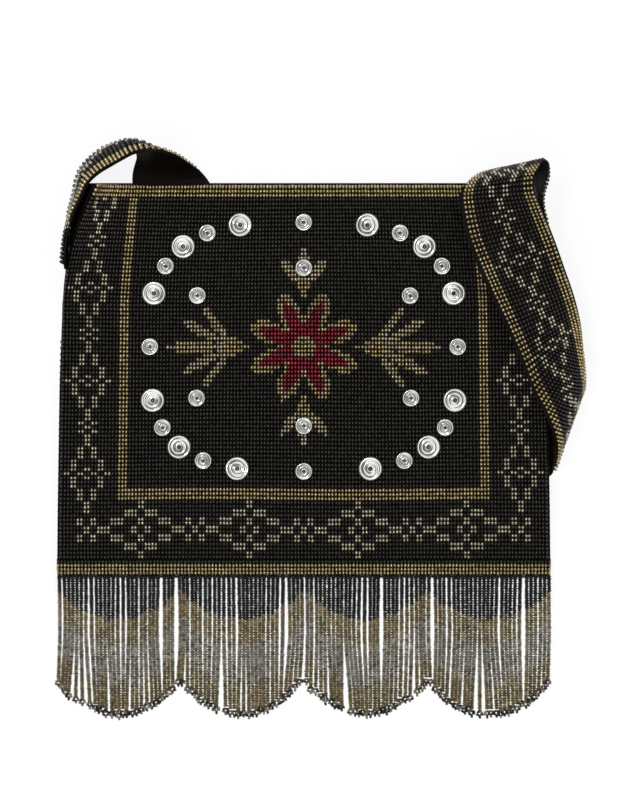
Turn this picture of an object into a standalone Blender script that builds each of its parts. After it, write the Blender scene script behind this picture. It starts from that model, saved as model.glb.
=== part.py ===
# Beaded shoulder bag with a fringe, lying on its back, its strap passed under it and over its front.
# Metres, +Z up from the table, +Y from the hem to the mouth, +X to the right as the front is seen.
# The front is a lined bead panel hinged at the hem, and four fringe scallops swing from the hem roll.

import math

import bmesh
import bpy
from mathutils import Vector

mm = 0.001

# Bag body: where its middle and its hem axis lie, and its outer size
bag_middle_x = -8.94 * mm
hem_axis_y = -69.79 * mm
bag_width = 251 * mm
bag_height = 194 * mm
side_taper = 3 * mm

# Beadwork: columns run up the panel and rows across it
row_pitch = 2.13 * mm
panel_columns = 144
border_columns = 17
line_columns = 3
top_band_rows = 3
lower_border_height = 34.25 * mm
bead_thickness = 1.9 * mm

# Cloth layers, and the space that touching pieces keep
touch_gap = 0.3 * mm
back_thickness = 0.6 * mm
lining_thickness = 0.4 * mm
base_thickness = 0.6 * mm
back_past_mouth = 1.3 * mm
cavity_at_hem = 0.6 * mm
cavity_at_mouth = 5.2 * mm
seam_thickness = 1 * mm
hem_start_gap = 0.5 * mm

# Raised corners at the two ends of the mouth
lift_length = 59 * mm
lift_power = 1.2
ear_angle_left = 1.5
ear_angle_right = 0.65
gather_share = 0.05

# Strap
strap_width = 35 * mm
strap_bead_thickness = 1.6 * mm
strap_backing_thickness = 0.7 * mm
strap_backing_reach_a = 1.5 * mm
strap_backing_reach_b = 0.6 * mm
strap_line_width = 5.2 * mm

# Fringe: each scallop is a comb of strands below a heading row
scallops = 4
strands_in_scallop = 27
strand_thickness = 1.4 * mm
heading_height = 2 * mm
cusp_length = 54 * mm
middle_length = 73 * mm
scallop_power = 0.7
droop_run = 16 * mm
droop_stages = 2

# Flower and palmettes on the front, pointed lobes about a middle
flower_below_middle = 2.125 * mm
petals = 8
petal_tip = 30 * mm
petal_valley = 13 * mm
red_tip = 24.5 * mm
red_valley = 9 * mm
petal_fullness = 0.6
red_fullness = 1.0
side_fan_offset = 36 * mm
side_fan_tips = [26 * mm, 30 * mm, 34 * mm, 30 * mm, 26 * mm]
side_fan_valley = 7 * mm
side_fan_foot = 10 * mm
side_fan_turn = math.radians(27)
end_fan_offset = 30 * mm
end_fan_tips = [19 * mm, 21 * mm, 19 * mm]
end_fan_valley = 5 * mm
end_fan_foot = 7 * mm
end_fan_turn = math.radians(38)
lobe_steps = 4

# Sequins
large_sequin_radius = 6 * mm
small_sequin_radius = 4.4 * mm
sequin_thickness = 1.2 * mm
stop_bead_radius = 1.2 * mm
stop_bead_height = 1.4 * mm
sequin_ring_half_width = 79 * mm
sequin_ring_half_height = 63 * mm
sequin_ring_power = 3.2
inner_ring_inset_across = 19 * mm
inner_ring_inset_along = 23 * mm
outer_sequin_count = 12
inner_sequin_count = 6

# Magnetic snap inside the mouth
snap_from_mouth = 22 * mm
snap_radius = 8 * mm
socket_height = 2 * mm
magnet_radius = 4.2 * mm
magnet_height = 1.7 * mm
stud_plate_height = 1 * mm
stud_boss_radius = 3 * mm
stud_boss_height = 1 * mm

# Strap route, from its left end on the bag to its right end, in pixels of the 640 by 800 photograph:
# edge A x and y, edge B x and y, then the heights of A and B above the table in strap widths.
# Edge A is near the table where the strap stands, and edge B is then its upper edge.
pixel_middle_x = 304.5
pixel_hem_y = 566
pixel_bag_width = 495
pixel_bag_height = 382.6
strap_route_shares = [
    # Left end, sewn upright on the bag's side
    (62.3, 268, 62.3, 268, 0.20, 0.80),
    (62, 262, 62, 262, 0.08, 0.96),
    (62.2, 254, 62.2, 254, 0.06, 1.01),
    (63.3, 240, 66, 239, 0.06, 1.01),
    (65.5, 225, 71, 226, 0.06, 1.00),
    (70.5, 208, 77.5, 211, 0.06, 0.99),
    (75.5, 193, 84.5, 197, 0.06, 0.99),
    (80.5, 176, 90, 184.5, 0.06, 0.98),
    # Standing turn above the mouth
    (87, 158, 101, 173.8, 0.06, 0.98),
    (98, 147, 113.5, 166, 0.06, 0.98),
    (111, 142.3, 124.5, 159.7, 0.06, 0.98),
    (122, 141.2, 135.5, 154, 0.06, 0.98),
    (132.5, 143, 147.7, 150.8, 0.06, 0.98),
    # It falls outward and lies flat, beads down
    (138, 149, 159, 150.8, 0.07, 0.96),
    (139.5, 155.5, 170, 152.4, 0.08, 0.88),
    (139, 159, 176.3, 154.4, 0.08, 0.78),
    (138, 162.5, 182, 157, 0.08, 0.66),
    (136.3, 168, 191, 162.5, 0.075, 0.38),
    (135.5, 173.5, 199, 168, 0.06, 0.15),
    (135.5, 179, 205, 174.5, 0.05, 0.05),
    (138.5, 190, 212, 186, 0.05, 0.05),
    # Flat run under the bag
    (168, 236, 225, 196, 0.05, 0.05),
    (223, 311, 277, 268.5, 0.05, 0.05),
    (256, 354, 309, 308, 0.05, 0.05),
    (296, 394.5, 344, 345.5, 0.05, 0.05),
    (339, 430, 380, 374, 0.05, 0.05),
    (385.5, 457, 414.5, 396, 0.05, 0.05),
    (431.5, 474, 447, 407, 0.05, 0.05),
    (473, 481, 477, 413, 0.05, 0.05),
    # Round the bag's right edge
    (518, 480, 542, 403, 0.05, 0.05),
    (551, 472, 574, 394, 0.05, 0.05),
    (555, 468.5, 580, 390, 0.085, 0.085),
    (555.5, 463, 583, 387, 0.18, 0.15),
    (556.5, 456, 584, 383, 0.35, 0.25),
    (556.8, 447, 584, 376, 0.47, 0.36),
    (555, 434, 583.5, 365, 0.545, 0.46),
    # Run over the front, beads up
    (547.5, 412, 582.5, 352, 0.59, 0.55),
    (536.5, 392, 581, 337, 0.63, 0.62),
    (520.4, 352.5, 577.5, 316, 0.72, 0.71),
    (505.8, 320.3, 571, 293, 0.83, 0.82),
    (491, 289.5, 562, 268.5, 0.97, 0.94),
    (479, 263, 551, 239, 1.05, 1.03),
    (468.5, 236, 543, 219.5, 1.12, 1.09),
    (463.2, 211, 536, 203, 1.17, 1.11),
    (461.5, 197, 531.5, 191.5, 1.19, 1.10),
    # Crest, where it turns over
    (463.5, 189.5, 531, 179.5, 1.17, 1.07),
    (468.5, 183, 535.5, 170.5, 1.07, 1.02),
    (478, 176.3, 541.5, 162.5, 0.85, 0.98),
    (491, 171.8, 544.5, 162.5, 0.45, 0.965),
    (507, 168, 546, 166, 0.14, 0.97),
    (521, 168.5, 546, 172, 0.07, 0.98),
    # Right end, sewn upright on the bag's side
    (532, 176, 544.5, 180.5, 0.06, 1.00),
    (537.5, 189, 541, 191, 0.06, 1.00),
    (539.8, 204, 539.8, 204, 0.06, 1.00),
    (543.5, 222, 543.5, 222, 0.06, 1.00),
    (546.5, 240, 546.5, 240, 0.06, 0.97),
    (548, 254, 548, 254, 0.06, 0.93),
    (548.5, 262, 548.5, 262, 0.08, 0.90),
    (548.5, 268, 548.5, 268, 0.20, 0.76),
]

# Heights of the layers above the table
strap_top = strap_bead_thickness + touch_gap + strap_backing_thickness
back_bottom = strap_top + touch_gap
back_lining_bottom = back_bottom + back_thickness + touch_gap
back_lining_top = back_lining_bottom + lining_thickness
base_from_lining = lining_thickness + touch_gap
beads_from_lining = base_from_lining + base_thickness + touch_gap
panel_thickness = beads_from_lining + bead_thickness
hem_radius = (back_lining_top + cavity_at_hem + panel_thickness) / 2
hem_facets = 16
sequin_facets = 8
snap_facets = 16
sharp_edge_angle = math.radians(50)
strand_pitch = bag_width / (scallops * strands_in_scallop)

# Places across and up the front panel, measured from its middle and from the hem axis
panel_half = bag_width / 2 - seam_thickness - touch_gap
bead_pitch = 2 * panel_half / panel_columns
line_outer = panel_half - border_columns * bead_pitch
line_inner = line_outer - line_columns * bead_pitch
ear_width = panel_half - line_inner
panel_start = hem_radius + hem_start_gap
band_bottom = bag_height - top_band_rows * row_pitch
frame_bottom_edge = lower_border_height
frame_top_edge = frame_bottom_edge + line_columns * row_pitch
flower_height = (frame_top_edge + band_bottom) / 2 - flower_below_middle
lift_start = bag_height - lift_length
half_gap = touch_gap / 2
cutter_overrun = bead_thickness
least_angle = 0.01


def ease(share):
    share = min(max(share, 0), 1)
    return share * share * (3 - 2 * share)


def lift_share(height):
    share = min(max((height - lift_start) / lift_length, 0), 1)
    return share**lift_power


def cavity_height(height):
    # The cavity opens from the hem and is level above the frame's lower line
    share = (height - panel_start) / (frame_bottom_edge - panel_start)
    return cavity_at_hem + (cavity_at_mouth - cavity_at_hem) * ease(share)


def panel_point(across, height, layer):
    # A point of the front panel: its corners bend up in arcs, and the mouth is a little gathered
    lift = lift_share(height)
    angle = (ear_angle_right if across > 0 else ear_angle_left) * lift
    flat = min(abs(across), line_inner)
    past = abs(across) - flat
    x = flat * (1 - gather_share * lift)
    z = back_lining_top + cavity_height(height) + layer
    if angle > least_angle:
        radius = ear_width / angle
        turn = past / radius
        x += (radius - layer) * math.sin(turn)
        z += (radius - layer) * (1 - math.cos(turn))
    else:
        x += past
    x *= 1 - side_taper / panel_half * height / bag_height
    return Vector((bag_middle_x + math.copysign(x, across), hem_axis_y + height, z))


def clear_scene():
    for thing in list(bpy.data.objects):
        bpy.data.objects.remove(thing, do_unlink=True)


def material(name, colour, roughness, metallic=0.0):
    made = bpy.data.materials.get(name) or bpy.data.materials.new(name)
    made.use_nodes = True
    shader = made.node_tree.nodes["Principled BSDF"]
    shader.inputs["Base Color"].default_value = (*colour, 1.0)
    shader.inputs["Roughness"].default_value = roughness
    shader.inputs["Metallic"].default_value = metallic
    return made


def black_cloth():
    return material("black cloth", (0.012, 0.012, 0.014), 0.9)


def black_beads():
    return material("black glass beads", (0.02, 0.02, 0.025), 0.25)


def gold_beads():
    return material("gold metal beads", (0.46, 0.36, 0.16), 0.3, 1.0)


def red_beads():
    return material("red glass beads", (0.35, 0.01, 0.02), 0.25)


def clear_glass():
    return material("silvered glass", (0.8, 0.8, 0.8), 0.1, 1.0)


def steel():
    return material("nickelled steel", (0.6, 0.6, 0.6), 0.3, 1.0)


def object_from(name, mesh, finish, parent, pivot):
    # The mesh holds world places, so the object stands at its pivot and the mesh is moved back by it
    for vertex in mesh.vertices:
        vertex.co -= pivot
    made = bpy.data.objects.new(name, mesh)
    made.location = pivot - parent.location
    made.parent = parent
    mesh.materials.append(finish)
    bpy.context.scene.collection.objects.link(made)
    return made


def mesh_of(name, points, faces):
    mesh = bpy.data.meshes.new(name)
    mesh.from_pydata(points, [], faces)
    work = bmesh.new()
    work.from_mesh(mesh)
    bmesh.ops.recalc_face_normals(work, faces=work.faces)
    work.to_mesh(mesh)
    work.free()
    return mesh


def round_mesh_of(name, points, faces):
    # Smooth between its facets, with a sharp edge at its ends
    mesh = mesh_of(name, points, faces)
    mesh.shade_smooth()
    mesh.set_sharp_from_angle(angle=sharp_edge_angle)
    return mesh


def joint_empty(name, place):
    made = bpy.data.objects.new(name, None)
    made.location = place
    bpy.context.scene.collection.objects.link(made)
    return made


def prism(low, high):
    # Points and faces of a closed prism between two outlines of equal length
    count = len(low)
    points = low + high
    faces = [tuple(range(count)), tuple(range(count, 2 * count))]
    for i in range(count):
        j = (i + 1) % count
        faces.append((i, j, count + j, count + i))
    return points, faces


def joined(solids):
    # One list of points and faces from several separate solids
    points = []
    faces = []
    for solid_points, solid_faces in solids:
        start = len(points)
        points += solid_points
        faces += [tuple(start + i for i in face) for face in solid_faces]
    return points, faces


def spread(low, high, count):
    return [low + (high - low) * i / count for i in range(count + 1)]


def masked_sheet(across_lines, up_lines, inside, place, low, high):
    # A closed sheet on the cells of a grid that lie inside a shape, placed point by point
    columns = len(across_lines) - 1
    rows = len(up_lines) - 1
    kept = set()
    for i in range(columns):
        for j in range(rows):
            across = (across_lines[i] + across_lines[i + 1]) / 2
            up = (up_lines[j] + up_lines[j + 1]) / 2
            if inside(across, up):
                kept.add((i, j))
    points = []
    index = {}

    def corner(i, j, layer):
        key = (i, j, layer)
        if key not in index:
            index[key] = len(points)
            points.append(place(across_lines[i], up_lines[j], layer))
        return index[key]

    faces = []
    for i, j in sorted(kept):
        ring = [(i, j), (i + 1, j), (i + 1, j + 1), (i, j + 1)]
        # Both sides are split along the same diagonal, so that warped layers stay parallel
        for triangle in ((ring[0], ring[1], ring[2]), (ring[0], ring[2], ring[3])):
            faces.append([corner(*spot, high) for spot in triangle])
            faces.append([corner(*spot, low) for spot in reversed(triangle)])
        neighbours = [(i, j - 1), (i + 1, j), (i, j + 1), (i - 1, j)]
        for side, neighbour in enumerate(neighbours):
            if neighbour not in kept:
                start = ring[side]
                end = ring[(side + 1) % 4]
                faces.append([corner(*start, low), corner(*end, low), corner(*end, high), corner(*start, high)])
    return points, faces


def panel_sheet(across_lines, height_lines, inside, low, high):
    return masked_sheet(across_lines, height_lines, inside, panel_point, low, high)


def hem_heights():
    return spread(panel_start, frame_bottom_edge - half_gap, 4)


def lift_heights(end):
    # Every layer shares these heights, so the layers stay parallel
    return spread(lift_start, band_bottom, 5)[:-1] + [end]


def corner_lines(starts):
    # Places across a raised corner, shared by every layer, after some that start it
    return starts + spread(line_outer, panel_half, 4)[1:]


def mirrored(right):
    return [-across for across in reversed(right)] + right


def whole(across, height):
    return True


def front_sheet(low, high, mouth):
    across = mirrored(corner_lines([line_inner, line_outer]))
    heights = hem_heights() + lift_heights(band_bottom) + [mouth]
    return panel_sheet(across, heights, whole, low, high)


def make_base_cloth(front, pivot):
    low = base_from_lining
    points, faces = front_sheet(low, low + base_thickness, bag_height)
    object_from("front_base_cloth", mesh_of("front_base_cloth", points, faces), black_cloth(), front, pivot)


def make_front_lining(front, pivot):
    points, faces = front_sheet(0, lining_thickness, bag_height)
    object_from("front_lining", mesh_of("front_lining", points, faces), black_cloth(), front, pivot)


def make_border(front, pivot):
    across = mirrored(corner_lines([line_outer + half_gap]))
    heights = hem_heights() + lift_heights(band_bottom - half_gap)

    def in_border(x, y):
        return abs(x) > line_outer or y < frame_bottom_edge

    top = beads_from_lining + bead_thickness
    points, faces = panel_sheet(across, heights, in_border, beads_from_lining, top)
    object_from("front_bead_border", mesh_of("front_bead_border", points, faces), black_beads(), front, pivot)


def make_frame(front, pivot):
    outer = line_outer - half_gap
    inner = line_inner + half_gap
    across = [-outer, -inner, inner, outer]
    heights = [frame_bottom_edge + half_gap, frame_top_edge - half_gap] + lift_heights(band_bottom - half_gap)

    def in_frame(x, y):
        return abs(x) > line_inner or y < frame_top_edge

    top = beads_from_lining + bead_thickness
    points, faces = panel_sheet(across, heights, in_frame, beads_from_lining, top)
    object_from("gold_frame_beads", mesh_of("gold_frame_beads", points, faces), gold_beads(), front, pivot)


def make_top_band(front, pivot):
    across = mirrored(corner_lines([line_inner, line_outer]))
    heights = [band_bottom + half_gap, bag_height]
    top = beads_from_lining + bead_thickness
    points, faces = panel_sheet(across, heights, whole, beads_from_lining, top)
    object_from("top_gold_band", mesh_of("top_gold_band", points, faces), gold_beads(), front, pivot)


def lobed_outline(middle, headings, tips, valley, turn, fullness):
    # Pointed lobes side by side about a middle, as points across and up the panel
    outline = []
    for heading, tip in zip(headings, tips):
        for step in range(-lobe_steps, lobe_steps):
            share = 1 - abs(step) / lobe_steps
            radius = valley + (tip - valley) * share
            angle = heading + math.copysign(turn / 2 * (1 - share) ** fullness, step)
            outline.append((middle[0] + radius * math.cos(angle), middle[1] + radius * math.sin(angle)))
    return outline


def flower_outline(tip, valley, fullness):
    turn = 2 * math.pi / petals
    headings = [turn * (i + 0.5) for i in range(petals)]
    return lobed_outline((0, flower_height), headings, [tip] * petals, valley, turn, fullness)


def fan_outline(offset, heading, tips, valley, foot, turn):
    # A palmette: leaves that fan out about its heading, and a pointed foot towards the flower
    middle = (offset * math.cos(heading), flower_height + offset * math.sin(heading))
    centre = (len(tips) - 1) / 2
    headings = [heading + (i - centre) * turn for i in range(len(tips))]
    outline = lobed_outline(middle, headings, tips, valley, turn, petal_fullness)
    for radius, angle in ((valley, headings[-1] + turn / 2), (foot, heading + math.pi)):
        outline.append((middle[0] + radius * math.cos(angle), middle[1] + radius * math.sin(angle)))
    return outline


def fan_outlines():
    fans = {}
    for name, heading in (("right", 0), ("left", math.pi)):
        fans[name] = fan_outline(
            side_fan_offset, heading, side_fan_tips, side_fan_valley, side_fan_foot, side_fan_turn
        )
    for name, heading in (("upper", math.pi / 2), ("lower", -math.pi / 2)):
        fans[name] = fan_outline(end_fan_offset, heading, end_fan_tips, end_fan_valley, end_fan_foot, end_fan_turn)
    return fans


def grown(outline, clearance):
    # The outline with each side moved outward by a clearance
    moved = []
    for k, (x, y) in enumerate(outline):
        before = Vector(outline[k - 1])
        here = Vector((x, y))
        after = Vector(outline[(k + 1) % len(outline)])
        enter = (here - before).normalized()
        leave = (after - here).normalized()
        out_enter = Vector((enter.y, -enter.x))
        out_leave = Vector((leave.y, -leave.x))
        out = out_enter + out_leave
        place = here + out * clearance / (1 + out_enter.dot(out_leave))
        moved.append((place.x, place.y))
    return moved


def on_panel(outline, layer):
    return [panel_point(across, height, layer) for across, height in outline]


def bead_prism(outline):
    low = on_panel(outline, beads_from_lining)
    high = on_panel(outline, beads_from_lining + bead_thickness)
    return prism(low, high)


def tube_faces(count, loops, closed):
    # Faces between loops of points, with end caps unless the loops close into a ring
    faces = []
    for k in range(loops if closed else loops - 1):
        first = k * count
        second = (k + 1) % loops * count
        for i in range(count):
            j = (i + 1) % count
            faces.append((first + i, first + j, second + j, second + i))
    if not closed:
        faces += [tuple(range(count)), tuple(range((loops - 1) * count, loops * count))]
    return faces


def make_motif(front, pivot):
    top = beads_from_lining + bead_thickness
    petals_outer = flower_outline(petal_tip, petal_valley, petal_fullness)
    red = flower_outline(red_tip, red_valley, red_fullness)
    hole = grown(red, touch_gap)
    loops = [on_panel(petals_outer, beads_from_lining), on_panel(petals_outer, top)]
    loops += [on_panel(hole, top), on_panel(hole, beads_from_lining)]
    points = [point for loop in loops for point in loop]
    mesh = mesh_of("flower_gold_edge", points, tube_faces(len(red), len(loops), True))
    object_from("flower_gold_edge", mesh, gold_beads(), front, pivot)
    object_from("flower_red_petals", mesh_of("flower_red_petals", *bead_prism(red)), red_beads(), front, pivot)
    for name, outline in fan_outlines().items():
        mesh = mesh_of(f"palmette_{name}", *bead_prism(outline))
        object_from(f"palmette_{name}", mesh, gold_beads(), front, pivot)


def make_field(front, pivot):
    side = line_inner - half_gap
    bottom = frame_top_edge + half_gap
    right = [(side, bottom)] + [(side, height) for height in lift_heights(band_bottom - half_gap)]
    left = [(-across, height) for across, height in reversed(right)]
    points, faces = bead_prism(right + left)
    field = object_from("front_bead_field", mesh_of("front_bead_field", points, faces), black_beads(), front, pivot)
    solids = []
    outlines = [flower_outline(petal_tip, petal_valley, petal_fullness)] + list(fan_outlines().values())
    for outline in outlines:
        room = grown(outline, touch_gap)
        low = on_panel(room, beads_from_lining - cutter_overrun)
        high = on_panel(room, beads_from_lining + bead_thickness + cutter_overrun)
        solids.append(prism(low, high))
    cutter = object_from("motif_cutter", mesh_of("motif_cutter", *joined(solids)), gold_beads(), front, pivot)
    cutter.hide_render = True
    cutter.display_type = "WIRE"
    cut = field.modifiers.new("room for the motif", "BOOLEAN")
    cut.operation = "DIFFERENCE"
    cut.object = cutter


def ring_place(half_width, half_height, turn):
    # A point of a rounded rectangle about the flower's middle
    cosine = math.cos(turn)
    sine = math.sin(turn)
    across = half_width * math.copysign(abs(cosine) ** (2 / sequin_ring_power), cosine)
    height = half_height * math.copysign(abs(sine) ** (2 / sequin_ring_power), sine)
    return (across, flower_height + height)


def ring_turns(count, first):
    return [(i + first) * 2 * math.pi / count for i in range(count)]


def outer_places(first):
    turns = ring_turns(outer_sequin_count, first)
    return [ring_place(sequin_ring_half_width, sequin_ring_half_height, turn) for turn in turns]


def inner_places():
    turns = ring_turns(inner_sequin_count, 0.5)
    half_width = sequin_ring_half_width - inner_ring_inset_across
    half_height = sequin_ring_half_height - inner_ring_inset_along
    return [ring_place(half_width, half_height, turn) for turn in turns]


def turned(middle, profile, sides):
    # A solid turned about an upright axis from radii and heights, closed by flat ends
    points = []
    for radius, z in profile:
        for i in range(sides):
            turn = 2 * math.pi * i / sides
            points.append(Vector((middle.x + radius * math.cos(turn), middle.y + radius * math.sin(turn), z)))
    return points, tube_faces(sides, len(profile), False)


def make_sequin(name, across, height, radius, front, pivot):
    # A glass disc with the small bead that holds it
    middle = panel_point(across, height, panel_thickness + touch_gap)
    top = middle.z + sequin_thickness
    profile = [(radius, middle.z), (radius, top), (stop_bead_radius, top)]
    profile.append((stop_bead_radius, top + stop_bead_height))
    mesh = round_mesh_of(name, *turned(middle, profile, sequin_facets))
    object_from(name, mesh, clear_glass(), front, pivot)


def make_sequins(front, pivot):
    for k, place in enumerate(outer_places(0.5)):
        make_sequin(f"large_sequin_{k + 1}", *place, large_sequin_radius, front, pivot)
    for k, place in enumerate(outer_places(0) + inner_places()):
        make_sequin(f"small_sequin_{k + 1}", *place, small_sequin_radius, front, pivot)


def make_snap(root, front, pivot):
    middle = Vector((bag_middle_x, hem_axis_y + bag_height - snap_from_mouth, 0))
    low = back_lining_top + touch_gap
    plate_top = low + stud_plate_height
    profile = [(snap_radius, low), (snap_radius, plate_top), (stud_boss_radius, plate_top)]
    profile.append((stud_boss_radius, plate_top + stud_boss_height))
    mesh = round_mesh_of("snap_stud", *turned(middle, profile, snap_facets))
    object_from("snap_stud", mesh, steel(), root, pivot)

    high = back_lining_top + cavity_at_mouth - touch_gap
    bore = magnet_radius + touch_gap
    profile = [(snap_radius, high - socket_height), (snap_radius, high), (bore, high), (bore, high - socket_height)]
    points, faces = turned(middle, profile, snap_facets)
    mesh = round_mesh_of("snap_socket", points, tube_faces(snap_facets, len(profile), True))
    object_from("snap_socket", mesh, steel(), front, pivot)
    profile = [(magnet_radius, high - magnet_height), (magnet_radius, high)]
    mesh = round_mesh_of("snap_magnet", *turned(middle, profile, snap_facets))
    object_from("snap_magnet", mesh, steel(), front, pivot)


def back_outline(mouth):
    heights = [panel_start, lift_start] + lift_heights(bag_height)[1:]
    right = [panel_point(panel_half, height, 0) for height in heights]
    left = [panel_point(-panel_half, height, 0) for height in reversed(heights)]
    for row in (right[-1], left[0]):
        row.y = hem_axis_y + mouth
    return right + left


def flat_sheet(outline, low, high):
    bottom = [Vector((point.x, point.y, low)) for point in outline]
    top = [Vector((point.x, point.y, high)) for point in outline]
    return prism(bottom, top)


def make_back(root, pivot):
    outline = back_outline(bag_height + back_past_mouth)
    points, faces = flat_sheet(outline, back_bottom, back_bottom + back_thickness)
    object_from("back_panel", mesh_of("back_panel", points, faces), black_cloth(), root, pivot)
    outline = back_outline(bag_height)
    points, faces = flat_sheet(outline, back_lining_bottom, back_lining_top)
    object_from("back_lining", mesh_of("back_lining", points, faces), black_cloth(), root, pivot)


def make_hem_roll(root, pivot):
    # A roll of gold beads, with a flat side on the table
    reach = hem_radius / math.cos(math.pi / hem_facets)
    turns = [2 * math.pi * (i + 0.5) / hem_facets for i in range(hem_facets)]
    ring = [(reach * math.cos(t), hem_radius + reach * math.sin(t)) for t in turns]
    ends = []
    for x in (bag_middle_x - bag_width / 2, bag_middle_x + bag_width / 2):
        ends.append([Vector((x, hem_axis_y + y, z)) for y, z in ring])
    points, faces = prism(*ends)
    object_from("hem_bead_roll", round_mesh_of("hem_bead_roll", points, faces), gold_beads(), root, pivot)


def make_side_seams(root, pivot):
    # A narrow strip of cloth that closes each side between the back and the front
    for name, side in (("side_seam_left", -1), ("side_seam_right", 1)):
        loops = []
        for height in hem_heights() + [lift_start]:
            edge = panel_point(side * panel_half, height, 0)
            inner = edge.x + side * touch_gap
            outer = inner + side * seam_thickness
            top = edge.z + base_from_lining + base_thickness
            corners = [(inner, back_bottom), (outer, back_bottom), (outer, top), (inner, top)]
            loops.append([Vector((x, edge.y, z)) for x, z in corners])
        points = [point for loop in loops for point in loop]
        mesh = mesh_of(name, points, tube_faces(4, len(loops), False))
        object_from(name, mesh, black_cloth(), root, pivot)


def strap_frames():
    # The two edge points of each section of the strap, and the beaded side's normal at each of them
    edges = []
    for ax, ay, bx, by, a_height, b_height in strap_route_shares:
        pair = []
        for px, py, height in ((ax, ay, a_height), (bx, by, b_height)):
            x = bag_middle_x + (px - pixel_middle_x) / pixel_bag_width * bag_width
            y = hem_axis_y + (pixel_hem_y - py) / pixel_bag_height * bag_height
            pair.append(Vector((x, y, height * strap_width)))
        edges.append(pair)
    frames = []
    for k, (a, b) in enumerate(edges):
        before = edges[max(k - 1, 0)]
        after = edges[min(k + 1, len(edges) - 1)]
        normals = [(b - a).cross(after[side] - before[side]).normalized() for side in range(2)]
        frames.append((a, b, *normals))
    return frames


def ribbon(frames, cuts, low, high):
    # A closed ribbon along the strap, its points at the given distances from edge A
    count = 2 * len(cuts)
    points = []
    for a, b, normal_a, normal_b in frames:
        under = []
        over = []
        for distance in cuts:
            share = distance / strap_width
            normal = normal_a.lerp(normal_b, share).normalized()
            under.append(a.lerp(b, share) + normal * low)
            over.append(a.lerp(b, share) + normal * high)
        points += under + over[::-1]
    # Each side is split along the same diagonal, so that twisted layers stay parallel
    pairs = []
    for i in range(len(cuts) - 1):
        pairs += [(i, i + 1), (count - 1 - i, count - 2 - i)]
    pairs += [(0, count - 1), (len(cuts) - 1, len(cuts))]
    faces = [tuple(range(count)), tuple(range(len(points) - count, len(points)))]
    for k in range(0, len(points) - count, count):
        for first, second in pairs:
            faces.append((k + first, k + second, k + count + second))
            faces.append((k + first, k + count + second, k + count + first))
    return points, faces


def make_strap(root, pivot):
    frames = strap_frames()
    low = half_gap
    high = half_gap + strap_bead_thickness
    line = strap_line_width
    far = strap_width - line
    points, faces = ribbon(frames, [line + touch_gap, far - touch_gap], low, high)
    object_from("strap_bead_field", mesh_of("strap_bead_field", points, faces), black_beads(), root, pivot)
    for name, cuts in (("strap_gold_line_a", [0, line]), ("strap_gold_line_b", [far, strap_width])):
        object_from(name, mesh_of(name, *ribbon(frames, cuts, low, high)), gold_beads(), root, pivot)
    cuts = [-strap_backing_reach_a, 0, line + half_gap, far - half_gap, strap_width + strap_backing_reach_b]
    points, faces = ribbon(frames, cuts, -half_gap - strap_backing_thickness, -half_gap)
    object_from("strap_backing", mesh_of("strap_backing", points, faces), black_cloth(), root, pivot)


def strand_length(share):
    bulge = math.sin(math.pi * share) ** scallop_power
    return cusp_length + (middle_length - cusp_length) * bulge


def strand_point(across, stage, layer):
    # Strands leave the hem roll level, sink to the table and lie on it
    start = hem_radius / math.cos(math.pi / hem_facets) + touch_gap
    leave = hem_radius - strand_thickness / 2
    strand = math.floor((across + bag_width / 2) / strand_pitch)
    share = (strand % strands_in_scallop + 0.5) / strands_in_scallop
    if stage == 0:
        out = start
        z = leave
    elif stage <= droop_stages:
        droop = (stage - 1) / (droop_stages - 1)
        out = start + heading_height + (droop_run - heading_height) * droop
        z = leave * (1 - droop) ** 2
    else:
        out = start + strand_length(share)
        z = 0
    return Vector((bag_middle_x + across, hem_axis_y - out, z + layer))


def make_fringe(pivot):
    for scallop in range(scallops):
        lines = []
        for k in range(strands_in_scallop):
            middle = (scallop * strands_in_scallop + k + 0.5) * strand_pitch - bag_width / 2
            lines += [middle - strand_thickness / 2, middle + strand_thickness / 2]

        def in_comb(across, stage):
            from_strand = (across + bag_width / 2) / strand_pitch % 1 - 0.5
            return stage < 1 or abs(from_strand) * strand_pitch < strand_thickness / 2

        stages = list(range(droop_stages + 2))
        points, faces = masked_sheet(lines, stages, in_comb, strand_point, 0, strand_thickness)
        name = f"fringe_{scallop + 1}"
        holder = joint_empty(f"fringe_hinge_{scallop + 1}", pivot)
        object_from(name, mesh_of(name, points, faces), gold_beads(), holder, pivot)


def build():
    clear_scene()
    hem_axis = Vector((bag_middle_x, hem_axis_y, hem_radius))
    root = joint_empty("bag_back", hem_axis)
    front = joint_empty("bag_front", hem_axis)
    make_back(root, hem_axis)
    make_hem_roll(root, hem_axis)
    make_side_seams(root, hem_axis)
    make_strap(root, hem_axis)
    make_snap(root, front, hem_axis)
    make_base_cloth(front, hem_axis)
    make_front_lining(front, hem_axis)
    make_border(front, hem_axis)
    make_frame(front, hem_axis)
    make_top_band(front, hem_axis)
    make_field(front, hem_axis)
    make_motif(front, hem_axis)
    make_sequins(front, hem_axis)
    make_fringe(hem_axis)


build()
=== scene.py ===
import math

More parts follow.
